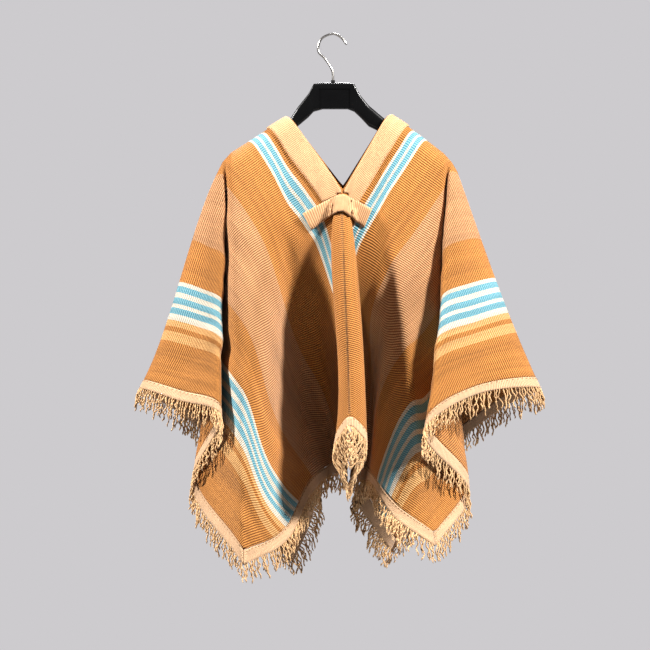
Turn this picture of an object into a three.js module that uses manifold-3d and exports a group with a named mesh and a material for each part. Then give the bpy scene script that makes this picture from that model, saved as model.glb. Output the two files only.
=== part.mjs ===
// A hand-woven wool poncho hanging on a coat hanger. Millimetres, +Z up, the front of the poncho faces -Y.
// The origin is where the hanger is held: the underside of the hook's crown.
//
// The poncho is two striped panels sewn together down the middle of the front and the back, with a slit for
// the head. It is hung here as it was cut: every point of a panel has a flat place, (across, along), and a
// draped one. "Across" runs from the middle seam to the side edge, "along" from the shoulder fold to the hem.

import * as THREE from 'three';
import { mergeVertices } from 'three/addons/utils/BufferGeometryUtils.js';
import Module from 'manifold-3d';

const wasm = await Module();
wasm.setup();

// Driving dimensions of the cloth
const PANEL_WIDTH = 545; // middle seam to side edge
const HALF_LENGTH = 575; // shoulder fold to hem
const HALF_SLIT = 168; // shoulder fold to the foot of the neck slit
const CLOTH = 3; // thickness of the panels and the edging tape
const SEAM_GAP = 0.3; // between pieces that are sewn together
const TAPE_GAP = 0.8; // between a panel and its edging
const LIFT = 1.7; // under a strip that lies on the curved cloth, so that it clears every facet
const ARM_RADIUS = 20; // how roundly the cloth turns over the hanger's arm

const TAPE_WIDTH = 18; // edging tape that carries the fringe
// The fringe in locks: their roots start rootDepth inside the tape's edge.
const LOCK = {
  pitch: 32,
  length: 40,
  rootDepth: 2.5,
  rootRadius: 0.9,
  radius: 2.6,
  tipRadius: 1.3,
  sides: 3,
  sway: 3, // how far its middle swings sideways
  swayTurn: 2.4, // radians from one lock's swing to the next
  // Shares of its length: how far its middle and its tip go straight out, then how far they hang down.
  middleOut: 0.3,
  middleDown: 0.15,
  tipOut: 0.45,
  tipDown: 0.55,
};

const BINDING_WIDTH = 38; // neck binding on each side of the slit
const BINDING_THICKNESS = 2;
const BINDING_INSET = 0.8; // from the slit's edge
const BINDING_END = 171; // its ends stop at the tab, just below the foot of the slit
const BINDING_SLANT = 23; // and are cut on a slant
const BINDING_STEPS = 36; // of its mesh, from end to end
const TAB_THICKNESS = 2;

// The hanger. Heights are below the crown of the hook.
const HANGER = {
  sides: 12,
  // x, top, bottom, half depth, how oval the section is
  stations: [
    [-196, -238, -248, 4, 0.9],
    [-190, -231, -253, 10, 0.9],
    [-178, -217.5, -248, 14, 0.8],
    [-152, -195.5, -226, 15, 0.8],
    [-112, -168.5, -197, 12, 0.8],
    [-79, -153, -173, 8, 0.7],
    [-62, -127, -160, 9, 0.5],
    [-43.2, -103.6, -144, 10, 0.35],
    [-33.8, -86, -134, 9, 0.3],
    [-18, -84.2, -129.7, 9, 0.3],
    [26, -84.2, -129.7, 9, 0.3],
    [37.1, -86, -134, 9, 0.3],
    [47.8, -106.2, -144, 10, 0.35],
    [62.6, -123.7, -160, 10, 0.5],
    [93.5, -149.5, -175, 9, 0.7],
    [129, -166.5, -197, 13, 0.8],
    [166, -192.5, -221, 14, 0.8],
    [193, -214.5, -243, 12, 0.8],
    [205, -229, -252, 10, 0.9],
    [211, -237, -247, 4, 0.9],
  ],
  recess: { x: 2.6, width: 54, top: -95, bottom: -150, depth: 1.5, face: 9 },
};
const HOOK = {
  radius: 2, sides: 8, steps: 24, seat: -84.2, boreDepth: 14,
  // x and height of the wire at each bend
  bends: [
    [-1.5, -62],
    [-13, -43],
    [-24.5, -31],
    [-25.7, -20],
    [-19, -5.5],
    [-0.4, 2],
    [14.3, -4.5],
    [24, -17],
  ],
};
const NUT = { outer: 4, height: 5 };

// The picture that the folds were read from: a 650 px square, taken level from the front.
const VIEW = { mmPerPixel: 1.75, middle: 325, distance: 3150, originX: 333, originY: 35 };

// A point seen at pixel (x, y), depth mm behind the hanger, as a real place.
function place(x, y, depth) {
  const grow = 1 + depth / VIEW.distance;
  const { mmPerPixel, middle, originX, originY } = VIEW;
  return new THREE.Vector3(
    (middle - originX + (x - middle) * grow) * mmPerPixel,
    depth,
    (originY - middle - (y - middle) * grow) * mmPerPixel,
  );
}

// The folds, from the middle seam to the shoulder line. Each row is one fold line, from the neck or the
// shoulder down to the edge. "start" is where it begins, along the slit and then the shoulder; "end" is where
// it ends, along the hem and then up the side edge. At chest and waist height: across and along on the flat
// panel, then x, y and depth where that point hangs. The last three are x, y and depth at the edge.
const FOLD_COLUMNS = [
  'name', 'start', 'end', 'chestAcross', 'chestAlong', 'chestX', 'chestY', 'chestDepth',
  'waistAcross', 'waistAlong', 'waistX', 'waistY', 'waistDepth', 'edgeX', 'edgeY', 'edgeDepth',
];

const FRONT_SEAM = ['seam', 0, 0, 0, 270, 343, 248, -87, 0, 371, 345.5, 308, -112, 350, 426, -165];
const BACK_SEAM = ['seam', 0, 0, 0, 270, 343, 238, 72, 0, 371, 343.5, 296, 92, 344, 412, 125];
const LEFT_SHOULDER = ['shoulder', 318, 1120, 249, 0, 198, 225, 0, 348, 0, 180, 283, 0, 140, 388, 0];
const RIGHT_SHOULDER = ['shoulder', 318, 1120, 249, 0, 475.6, 226, 0, 348, 0, 494.8, 279.3, 0, 540, 388, 0];

const FRONT_LEFT = [
  ['edge', 6, 26, 13, 264, 335, 247, -78, 17, 370, 337.6, 310, -102, 337.5, 440, -150],
  ['foot', 14, 135, 46, 256, 334.5, 255, -52, 82, 362, 339.5, 322, -48, 346, 473, -48],
  ['valley', 40, 205, 80, 238, 319, 256, -42, 125, 348, 322, 335, -4, 330, 474, 12],
  ['slope', 90, 310, 103, 204, 299, 255, -45, 152, 326, 297, 334, -15, 310.5, 495, -55],
  ['swell', 168, 420, 99, 142, 282, 221, -46, 202, 286, 275, 333, -70, 290, 536, -115],
  ['corner', 278, 545, 232, 179, 241, 279, -78, 346, 335, 243.5, 390, -120, 244, 565, -175],
  ['turn', 293, 795, 235, 103, 224, 254, -13, 342, 192, 216, 338, -20, 193, 476, -36],
  ['fold', 305, 930, 243, 57, 223.8, 235, -46, 346, 108, 222.2, 300, -75, 219.8, 413, -125],
  ['sleeve', 313, 1028, 246, 26, 210, 230, -31, 347, 50, 203, 290, -50, 178, 400, -72],
];
const FRONT_RIGHT = [
  ['edge', 6, 26, 13, 264, 351, 247, -76, 17, 370, 356.5, 310, -100, 363.5, 438, -148],
  ['foot', 14, 130, 42, 256, 350, 258, -50, 70, 358, 354, 326, -42, 351, 474, -50],
  ['valley', 40, 215, 76, 238, 353.5, 266, -40, 128, 340, 364, 333, -10, 364, 480, -8],
  ['slope', 90, 330, 130, 205, 381, 261, -48, 215, 290, 385, 330, -45, 373, 484, -62],
  ['swell', 168, 440, 120, 145, 395, 226, -50, 275, 311, 406, 347, -75, 394, 517, -118],
  ['corner', 278, 545, 232, 190, 430, 284, -50, 346, 354, 426, 394, -66, 435, 546, -112],
  ['turn', 293, 701, 235, 125, 445, 256, -12, 346, 235, 452, 345, -12, 469, 492, -14],
  ['fold', 305, 865, 243, 68, 446.5, 230, -50, 346, 130, 441.7, 296, -84, 425.4, 428, -142],
  ['sleeve', 313, 1000, 246, 31, 462, 224, -34, 347, 60, 471, 284, -55, 480, 393, -75],
];
const BACK_LEFT = [
  ['edge', 6, 45, 16, 262, 331, 240, 62, 26, 368, 329, 300, 76, 329, 424, 106],
  ['foot', 14, 125, 44, 254, 326, 250, 46, 66, 360, 325, 318, 56, 323, 453, 96],
  ['valley', 40, 205, 72, 238, 316, 250, 46, 106, 348, 311, 325, 60, 315, 466, 108],
  ['slope', 90, 300, 108, 205, 298, 252, 58, 158, 326, 291, 333, 92, 317, 478, 62],
  ['swell', 168, 430, 103, 142, 282, 221, 46, 213, 288, 265, 343, 62, 312.5, 515, 116],
  ['corner', 278, 545, 232, 179, 243, 281, 64, 345, 330, 250, 392, 98, 293, 562, 100],
  ['turn', 293, 740, 235, 107, 228, 262, 72, 342, 200, 223, 345, 88, 230, 490, 62],
  ['fold', 305, 865, 243, 62, 219, 245, 42, 346, 120, 215, 315, 55, 217, 447, 30],
  ['sleeve', 313, 985, 246, 30, 208, 232, 48, 347, 60, 200, 298, 62, 186, 417, 86],
];
const BACK_RIGHT = [
  ['edge', 6, 45, 16, 262, 355, 240, 62, 26, 368, 357, 300, 76, 360, 424, 106],
  ['foot', 14, 125, 44, 254, 359, 250, 50, 66, 360, 361, 318, 62, 360, 455, 92],
  ['valley', 40, 205, 72, 238, 367, 250, 50, 106, 348, 372, 325, 74, 368, 477, 92],
  ['slope', 90, 310, 110, 205, 381, 258, 60, 158, 326, 392, 335, 92, 355.5, 498, 104],
  ['swell', 168, 430, 103, 142, 389, 219, 48, 213, 288, 412, 343, 62, 374, 528, 98],
  ['corner', 278, 545, 232, 185, 431, 285, 64, 345, 330, 426, 388, 98, 391, 551, 110],
  ['turn', 293, 740, 235, 107, 447, 262, 72, 342, 200, 455, 340, 88, 449, 484, 66],
  ['fold', 305, 865, 243, 62, 457, 240, 42, 346, 120, 460, 305, 55, 455, 447, 32],
  ['sleeve', 313, 985, 246, 30, 466, 228, 46, 347, 60, 478, 290, 60, 500, 409, 80],
];

// The shoulder line over each arm: distance from the neck, x and y.
const SHOULDER_LINE = {
  '-1': [
    [0, 286, 118.6],
    [34, 269, 129],
    [83, 246, 144],
    [111, 231.6, 153],
    [133, 223, 162.6],
    [150, 218, 173],
  ],
  '1': [
    [0, 390.4, 116],
    [34, 406.7, 126.3],
    [81, 428, 142],
    [115, 443.5, 154],
    [135, 451.5, 163],
    [150, 456.7, 172],
  ],
};
// The foot of the neck slit, front and back.
const SLIT_FOOT = { '-1': [343, 190, -60], '1': [343, 186, 45] };

// The mesh gets a new column wherever the cloth has turned by so many degrees, or run on by so many mm.
const COLUMN_TURN = 90;
const COLUMN_STRIDE = 140;
// Where the cloth turns back on itself, how round the fold stays.
const ROUND_FOLDS = 0.2;
// Heights of the mesh's rows, from the top of each fold line (0) to its end (1).
const ROWS = [0, 0.012, 0.026, 0.042, 0.065, 0.11, 0.18, 0.27, 0.37, 0.48, 0.61, 0.75, 0.9];

function foldRow(row, side, face) {
  const r = Object.fromEntries(FOLD_COLUMNS.map((name, k) => [name, row[k]]));
  return {
    name: r.name, side, face, start: r.start, end: r.end,
    chestFlat: new THREE.Vector3(side * r.chestAcross, face * r.chestAlong, 0),
    chest: place(r.chestX, r.chestY, r.chestDepth),
    waistFlat: new THREE.Vector3(side * r.waistAcross, face * r.waistAlong, 0),
    waist: place(r.waistX, r.waistY, r.waistDepth),
    edge: place(r.edgeX, r.edgeY, r.edgeDepth),
  };
}

// All the folds in one ring: left shoulder, front, right shoulder, back, and round again.
// side is -1 on the left and 1 on the right; face is -1 in front and 1 behind.
const ring = [
  foldRow(LEFT_SHOULDER, -1, -1),
  ...FRONT_LEFT.toReversed().map((row) => foldRow(row, -1, -1)),
  foldRow(FRONT_SEAM, -1, -1),
  ...FRONT_RIGHT.map((row) => foldRow(row, 1, -1)),
  foldRow(RIGHT_SHOULDER, 1, -1),
  ...BACK_RIGHT.toReversed().map((row) => foldRow(row, 1, 1)),
  foldRow(BACK_SEAM, 1, 1),
  ...BACK_LEFT.map((row) => foldRow(row, -1, 1)),
];
const COUNT = ring.length;
const after = (k) => (k + 1) % COUNT;
const before = (k) => (k + COUNT - 1) % COUNT;

// How far apart two neighbouring folds are on the flat cloth, halfway between waist and edge.
const gaps = ring.map((fold, k) => {
  const next = ring[after(k)];
  return 0.5 * (fold.waistFlat.distanceTo(next.waistFlat) + Math.abs(fold.end - next.end));
});

function hermite(f) {
  return [2 * f ** 3 - 3 * f ** 2 + 1, f ** 3 - 2 * f ** 2 + f, 3 * f ** 2 - 2 * f ** 3, f ** 3 - f ** 2];
}

// The slope of a guide line at fold k: smooth, but with a corner in the edge where the panel has its corner.
function slope(key, k, forward) {
  const ahead = ring[after(k)][key].clone().sub(ring[k][key]).divideScalar(gaps[k]);
  const behind = ring[k][key].clone().sub(ring[before(k)][key]).divideScalar(gaps[before(k)]);
  if (key === 'edge' && ring[k].name === 'corner') return forward ? ahead : behind;
  const [far, near] = [gaps[k], gaps[before(k)]];
  const mean = behind.clone().multiplyScalar(far).addScaledVector(ahead, near).divideScalar(near + far);
  if (key.endsWith('Flat')) return mean;
  const down = ring[k].edge.clone().sub(ring[k].chest).normalize();
  const across = (v) => v.clone().projectOnPlane(down);
  const roundest = ROUND_FOLDS * (across(ahead).length() + across(behind).length());
  const stretch = Math.max(roundest / across(mean).length(), 1) - 1;
  return mean.addScaledVector(across(mean), stretch);
}

// A point of a guide line, f of the way from fold i to the next.
function guide(key, i, f) {
  const [h0, h1, h2, h3] = hermite(f);
  const j = after(i);
  return new THREE.Vector3()
    .addScaledVector(ring[i][key], h0)
    .addScaledVector(slope(key, i, true), h1 * gaps[i])
    .addScaledVector(ring[j][key], h2)
    .addScaledVector(slope(key, j, false), h3 * gaps[i]);
}

// A length that only grows or only shrinks inside each quarter: where the fold lines start or end.
function run(key, i, f, spacing) {
  const steady = (k, own) => {
    const back = (ring[k][key] - ring[before(k)][key]) / spacing(before(k));
    const ahead = (ring[after(k)][key] - ring[k][key]) / spacing(k);
    return back * ahead > 0 ? (2 * back * ahead) / (back + ahead) : own;
  };
  const j = after(i);
  const own = (ring[j][key] - ring[i][key]) / spacing(i);
  const [h0, h1, h2, h3] = hermite(f);
  return h0 * ring[i][key] + h1 * spacing(i) * steady(i, own)
    + h2 * ring[j][key] + h3 * spacing(i) * steady(j, own);
}

// The top edge: down the slit for the first HALF_SLIT, then out along the shoulder line.
function topPlace(side, face, start) {
  const line = SHOULDER_LINE[side];
  const neck = place(line[0][1], line[0][2], 0);
  if (start < HALF_SLIT) {
    const foot = place(...SLIT_FOOT[face]);
    foot.y -= face * ARM_RADIUS;
    foot.z -= (Math.PI / 2 - 1) * ARM_RADIUS;
    return neck.lerp(foot, 1 - start / HALF_SLIT);
  }
  const out = Math.min(start - HALF_SLIT, line.at(-1)[0]);
  const k = Math.max(1, line.findIndex((p) => p[0] >= out));
  const [s0, x0, y0] = line[k - 1];
  const [s1, x1, y1] = line[k];
  return place(x0, y0, 0).lerp(place(x1, y1, 0), (out - s0) / (s1 - s0));
}

function topFlat(side, face, start) {
  if (start < HALF_SLIT) return new THREE.Vector3(0, face * (HALF_SLIT - start), 0);
  return new THREE.Vector3(side * (start - HALF_SLIT), 0, 0);
}

function edgeFlat(side, face, end) {
  if (end < PANEL_WIDTH) return new THREE.Vector3(side * end, face * HALF_LENGTH, 0);
  return new THREE.Vector3(side * PANEL_WIDTH, face * (HALF_LENGTH + PANEL_WIDTH - end), 0);
}

const wrap = (q) => ((q % COUNT) + COUNT) % COUNT;

// Weights of the four heights of a fold line: top, chest, waist and edge.
const LEVELS = [0, 0.25, 0.5, 1];
const levelWeights = (v) => LEVELS.map((here) => LEVELS.filter((other) => other !== here)
  .reduce((w, other) => (w * (v - other)) / (here - other), 1));

// The middle of the cloth at q folds round the ring and v of the way down: draped place and flat place.
function surface(q, v) {
  const round = wrap(q);
  const i = Math.floor(round);
  const f = round - i;
  const side = ring[i].name === 'seam' ? ring[after(i)].side : ring[i].side;
  const face = ring[i].name === 'shoulder' ? ring[after(i)].face : ring[i].face;
  const start = run('start', i, f, () => 1);
  const end = run('end', i, f, (k) => gaps[k]);
  const [w0, w1, w2, w3] = levelWeights(v);
  const at = topPlace(side, face, start).multiplyScalar(w0)
    .addScaledVector(guide('chest', i, f), w1)
    .addScaledVector(guide('waist', i, f), w2)
    .addScaledVector(guide('edge', i, f), w3);
  const flat = topFlat(side, face, start).multiplyScalar(w0)
    .addScaledVector(guide('chestFlat', i, f), w1)
    .addScaledVector(guide('waistFlat', i, f), w2)
    .addScaledVector(edgeFlat(side, face, end), w3);
  const turned = Math.min(Math.abs(flat.y) / ARM_RADIUS, Math.PI / 2);
  const fade = Math.max(0, 1 - v) ** 3;
  at.y += face * ARM_RADIUS * Math.sin(turned) * fade;
  at.z += ARM_RADIUS * (turned - 1 + Math.cos(turned)) * fade;
  return { at, flat, side, face, end };
}

const SOLVER = { turns: 14, mostRound: 0.3, mostDown: 0.1 }; // its number of steps and the longest step

// The place (q, v) where two measures of the surface reach their wanted values, found from a first guess.
function solve(measure, wanted, q, v) {
  const tiny = 1e-3;
  const { turns, mostRound, mostDown } = SOLVER;
  for (let turn = 0; turn < turns; turn++) {
    const here = measure(surface(q, v));
    const right = measure(surface(q + tiny, v)).map((m, k) => (m - here[k]) / tiny);
    const down = measure(surface(q, v + tiny)).map((m, k) => (m - here[k]) / tiny);
    const [e0, e1] = wanted.map((w, k) => w - here[k]);
    const area = right[0] * down[1] - right[1] * down[0];
    if (Math.abs(area) < 1) break;
    q += THREE.MathUtils.clamp((e0 * down[1] - e1 * down[0]) / area, -mostRound, mostRound);
    v += THREE.MathUtils.clamp((right[0] * e1 - right[1] * e0) / area, -mostDown, mostDown);
  }
  return [q, v];
}

// The direction out of the cloth at (q, v). Both sides of a seam or a corner take the one that lies between.
function outward(q, v) {
  const tiny = 0.01;
  const nearest = Math.round(q);
  const shared = ['seam', 'corner'].includes(ring[wrap(nearest)].name) && Math.abs(q - nearest) < 0.05;
  const u = shared ? nearest : q;
  const down = surface(u, v + tiny).at.sub(surface(u, Math.max(v - tiny, 0)).at);
  const round = surface(u + tiny, v).at.sub(surface(u - tiny, v).at);
  return down.cross(round).normalize();
}

// The front and the back of a panel lie opposite each other in the ring and share their columns.
const opposite = (q) => COUNT - q;

// How far the cloth has turned and run on between two places of the ring, in columns' worth.
function unrest(q0, q1) {
  return Math.max(...[0.25, 0.5, 0.75, 0.97].map((v) => {
    const turn = THREE.MathUtils.radToDeg(outward(q0, v).angleTo(outward(q1, v)));
    return turn / COLUMN_TURN + surface(q0, v).at.distanceTo(surface(q1, v).at) / COLUMN_STRIDE;
  }));
}

// Columns of the mesh in one half of the ring: how far round each one stands.
const FINE = 24; // trial places from one fold to the next
const halfColumns = Array.from({ length: COUNT / 2 }, (_, i) => {
  const total = [0];
  for (let k = 0; k < FINE; k++) {
    const [q0, q1] = [i + k / FINE, i + (k + 1) / FINE];
    total.push(total[k] + Math.max(unrest(q0, q1), unrest(opposite(q0), opposite(q1))));
  }
  const steps = Math.ceil(total[FINE]);
  return Array.from({ length: steps }, (_, n) => {
    const wanted = (n * total[FINE]) / steps;
    const k = total.findIndex((sum) => sum >= wanted);
    return k === 0 ? i : i + (k - 1 + (wanted - total[k - 1]) / (total[k] - total[k - 1])) / FINE;
  });
}).flat();
const columns = [...halfColumns, COUNT / 2, ...halfColumns.slice(1).map(opposite).reverse()];
const ringIndex = (name, side, face) => ring.findIndex((fold) => fold.name === name
  && fold.side === side && fold.face === face);
const FRONT_MIDDLE = ringIndex('seam', -1, -1);
const BACK_MIDDLE = ringIndex('seam', 1, 1);
const isSeam = (q) => ring[wrap(q)]?.name === 'seam';
const isCorner = (q) => ring[wrap(q)]?.name === 'corner';
const MITRE_GAP = 0.0015; // of a fold's spacing, on each side of a corner

// The columns from one fold to another, going round the ring.
function columnsBetween(from, to) {
  const list = from < to ? columns : [...columns, ...columns.map((q) => q + COUNT)];
  const last = from < to ? to : to + COUNT;
  return [...list.filter((q) => q >= from && q < last), last];
}

// Any flat place of the cloth, hung: a coarse chart gives the first guess.
const chart = columns.flatMap((q) => ROWS.map((v) => ({ q, v, ...surface(q + 1e-4, v) })));

function nearestInChart(distance) {
  let [best, least] = [chart[0], Infinity];
  for (const entry of chart) {
    const far = distance(entry);
    if (far < least) [best, least] = [entry, far];
  }
  return best;
}

function hang(across, along) {
  const guess = nearestInChart(({ flat, side, face }) => (side * across >= 0 && face * along >= 0
    ? Math.abs(flat.x - across) + Math.abs(flat.y - along) : Infinity));
  return solve(({ flat }) => [flat.x, flat.y], [across, along], guess.q, guess.v);
}

// The place on the front of the cloth that lies behind a point of the front view.
function behindView(x, z) {
  const guess = nearestInChart(({ at, face }) => (face < 0
    ? Math.abs(at.x - x) + Math.abs(at.z - z) : Infinity));
  return solve(({ at }) => [at.x, at.z], [x, z], guess.q, guess.v);
}

const EDGE_ORDER = new THREE.Vector3(1, 0.37, 0.73); // a direction that puts any two points in order

// A piece of cloth is laid out as points (q, v), some with a shift sideways that keeps them clear of the
// seam. Points with the same name are one point, so the front and the back of a panel share the shoulder line.
class ClothPiece {
  constructor() {
    this.names = new Map();
    this.points = [];
    this.normals = [];
    this.triangles = [];
  }

  add([q, v], name, sideways = 0) {
    const { at } = surface(q, v);
    at.x += sideways;
    return this.addPoint(at, outward(q, v), name);
  }

  addPoint(at, normal, name) {
    if (!this.names.has(name)) {
      this.names.set(name, this.points.push(at) - 1);
      this.normals.push(new THREE.Vector3());
    }
    const index = this.names.get(name);
    this.normals[index].add(normal);
    return index;
  }

  // Joins lists of point numbers, all of one length, by pairs of triangles.
  join(lists) {
    for (let r = 0; r + 1 < lists.length; r++) {
      for (let c = 0; c + 1 < lists[r].length; c++) {
        const [a, b, d, e] = [lists[r][c], lists[r][c + 1], lists[r + 1][c + 1], lists[r + 1][c]];
        if (a !== e) this.triangles.push([a, d, e]);
        this.triangles.push([a, b, d]);
      }
    }
    return this;
  }

  // A closed wall between two offsets from the middle of the cloth.
  wall(low, high) {
    const count = this.points.length;
    const normals = this.normals.map((n) => n.clone().normalize());
    const positions = [high, low].flatMap((offset) => this.points.flatMap(
      (p, k) => p.clone().addScaledVector(normals[k], offset).toArray(),
    ));
    const index = [];
    const edges = new Set();
    for (const [a, b, c] of this.triangles) {
      index.push(a, b, c, a + count, c + count, b + count);
      for (const [m, n] of [[a, b], [b, c], [c, a]]) edges.add(`${m} ${n}`);
    }
    // The cut edge of the cloth. Two pieces that meet along it split each twisted face the same way.
    const order = (k) => this.points[k].dot(EDGE_ORDER);
    for (const edge of edges) {
      const [m, n] = edge.split(' ').map(Number);
      if (edges.has(`${n} ${m}`)) continue;
      if (order(m) < order(n)) index.push(n, m, n + count, m, m + count, n + count);
      else index.push(n, m, m + count, n, m + count, n + count);
    }
    return closedGeometry(positions, index);
  }
}

function closedGeometry(positions, index) {
  const geometry = new THREE.BufferGeometry();
  geometry.setAttribute('position', new THREE.Float32BufferAttribute(positions, 3));
  geometry.setIndex(index);
  return geometry;
}

function toSolid(geometry) {
  const bare = geometry.clone();
  bare.deleteAttribute('normal');
  bare.deleteAttribute('uv');
  const merged = mergeVertices(bare, 1e-4);
  return new wasm.Manifold(new wasm.Mesh({
    numProp: 3,
    vertProperties: Float32Array.from(merged.attributes.position.array),
    triVerts: Uint32Array.from(merged.index.array),
  }));
}

function fromSolid(solid) {
  const mesh = solid.getMesh();
  return closedGeometry(Array.from(mesh.vertProperties), Array.from(mesh.triVerts));
}

const HALVINGS = 30; // of the search for a place near the edge

// Where a fold line comes within "inset" mm of the edge.
function insetPlace(q, inset) {
  let [low, high] = [0.5, 1];
  for (let turn = 0; turn < HALVINGS; turn++) {
    const middle = (low + high) / 2;
    const { flat } = surface(q, middle);
    const left = Math.min(PANEL_WIDTH - Math.abs(flat.x), HALF_LENGTH - Math.abs(flat.y));
    if (left > inset) low = middle;
    else high = middle;
  }
  return [q, low];
}

// One striped panel, from the back seam over the shoulder to the front seam or the other way round.
function panel(side) {
  const piece = new ClothPiece();
  const [from, to] = side < 0 ? [BACK_MIDDLE, FRONT_MIDDLE] : [FRONT_MIDDLE, BACK_MIDDLE];
  const lists = columnsBetween(from, to).map((q) => {
    const sideways = isSeam(q) ? (side * SEAM_GAP) / 2 : 0;
    const list = ROWS.map((v) => {
      const { flat } = surface(q, v);
      return piece.add([q, v], `${flat.x.toFixed(1)} ${flat.y.toFixed(1)}`, sideways);
    });
    list.push(piece.add(insetPlace(q, TAPE_WIDTH + TAPE_GAP), `${q} inner edge`, sideways));
    return list;
  });
  return piece.join(lists).wall(-CLOTH / 2, CLOTH / 2);
}

// A length of edging tape between two folds, mitred at the corners, with locks of fringe rooted in its edge.
function edging(side, from, to) {
  const piece = new ClothPiece();
  const tapeColumns = columnsBetween(from, to);
  const lists = tapeColumns.map((column, k) => {
    const sideways = isSeam(column) ? (side * SEAM_GAP) / 2 : 0;
    const q = isCorner(column) ? column + (k === 0 ? MITRE_GAP : -MITRE_GAP) : column;
    return [TAPE_WIDTH, 0].map((inset) => piece.add(
      inset ? insetPlace(q, inset) : [q, 1],
      `${q} ${inset}`,
      sideways,
    ));
  });
  let solid = toSolid(piece.join(lists).wall(-CLOTH / 2, CLOTH / 2));
  let count = 0;
  for (let k = 0; k + 1 < tapeColumns.length; k++) {
    const [q0, q1] = [tapeColumns[k], tapeColumns[k + 1]];
    const length = Math.abs(surface(q1 - 1e-6, 1).end - surface(q0 + 1e-6, 1).end);
    const number = Math.round(length / LOCK.pitch);
    for (let n = 0; n < number; n++) {
      solid = solid.add(toSolid(lock(q0, q1, (n + 0.5) / number, count)));
      count += 1;
    }
  }
  return fromSolid(solid);
}

// One lock of the fringe, f of the way between two columns: it leaves the edge in the cloth's own direction,
// then hangs.
function lock(q0, q1, f, k) {
  const between = (find) => find(q0).lerp(find(q1), f);
  const root = between((q) => surface(...insetPlace(q, LOCK.rootDepth)).at);
  const edge = between((q) => surface(q, 1).at);
  const out = edge.clone().sub(root).normalize();
  const normal = between((q) => outward(q, 1)).normalize();
  const sideways = new THREE.Vector3().crossVectors(normal, out);
  const middle = edge.clone().addScaledVector(out, LOCK.middleOut * LOCK.length)
    .addScaledVector(sideways, LOCK.sway * Math.sin(k * LOCK.swayTurn));
  const tip = edge.clone().addScaledVector(out, LOCK.tipOut * LOCK.length);
  middle.z -= LOCK.middleDown * LOCK.length;
  tip.z -= LOCK.tipDown * LOCK.length;
  const stages = [[root, LOCK.rootRadius], [middle, LOCK.radius], [tip, LOCK.tipRadius]];
  const positions = stages.flatMap(([p, radius]) => Array.from({ length: LOCK.sides }, (_, s) => {
    const angle = (2 * Math.PI * s) / LOCK.sides;
    return p.clone().addScaledVector(sideways, radius * Math.cos(angle))
      .addScaledVector(normal, radius * Math.sin(angle)).toArray();
  }).flat());
  return closedGeometry(positions, loftIndex(stages.length, LOCK.sides));
}

// Triangles that join rings of points into one closed body, with flat ends.
function loftIndex(rings, sides, turned = false) {
  const index = [];
  const push = (a, b, c) => index.push(...(turned ? [a, c, b] : [a, b, c]));
  for (let r = 0; r + 1 < rings; r++) {
    for (let s = 0; s < sides; s++) {
      const t = (s + 1) % sides;
      const [a, b, c, d] = [r * sides + s, r * sides + t, (r + 1) * sides + t, (r + 1) * sides + s];
      push(a, b, c);
      push(a, c, d);
    }
  }
  for (let s = 1; s + 1 < sides; s++) {
    push(0, s + 1, s);
    push((rings - 1) * sides, (rings - 1) * sides + s, (rings - 1) * sides + s + 1);
  }
  return index;
}

function evenly(from, to, steps) {
  return Array.from({ length: steps + 1 }, (_, k) => from + ((to - from) * k) / steps);
}

// The neck binding on one side of the slit, from the tab over the shoulder to the foot of the slit behind.
function binding(side) {
  const piece = new ClothPiece();
  const across = [BINDING_INSET, ...evenly(BINDING_WIDTH / 3, BINDING_WIDTH, 2)];
  if (side < 0) across.reverse();
  const lists = across.map((s) => {
    const end = BINDING_END - (BINDING_SLANT * s) / BINDING_WIDTH;
    return evenly(end, -end, BINDING_STEPS).map((t) => piece.add(hang(side * s, t), `${s} ${t}`));
  });
  const low = CLOTH / 2 + LIFT;
  return piece.join(lists).wall(low, low + BINDING_THICKNESS);
}

// The tab is laid by where it is seen: x and y of its upper and lower edge, from its left end to its right.
const TAB_STATIONS = [
  [302.5, 213.7, 311.3, 230],
  [317, 205.7, 322, 222],
  [331, 198.2, 332.5, 214.5],
  [337.5, 195.8, 338, 212.4],
  [343, 195, 343.3, 211.8],
  [349, 197.3, 347.8, 214.8],
  [361, 202.8, 355.5, 221],
  [372, 209.2, 364.2, 227.5],
];
const TAB_DEPTH = -62;
const TAB_REACH = 4; // the cloth this far to each side of a point is kept clear

function neckTab() {
  const piece = new ClothPiece();
  const forward = new THREE.Vector3(0, -1, 0);
  const lists = TAB_STATIONS.map(([x0, y0, x1, y1], k) => evenly(0, 1, 2).map((f) => {
    const seen = place(x0 + (x1 - x0) * f, y0 + (y1 - y0) * f, TAB_DEPTH);
    const around = [-TAB_REACH, 0, TAB_REACH].flatMap((dx) => [-TAB_REACH, 0, TAB_REACH].map(
      (dz) => surface(...behindView(seen.x + dx, seen.z + dz)).at.y,
    ));
    seen.y = Math.min(...around) - CLOTH / 2 - SEAM_GAP;
    return piece.addPoint(seen, forward, `${k} ${f}`);
  }));
  return piece.join(lists).wall(0, TAB_THICKNESS);
}

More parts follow.
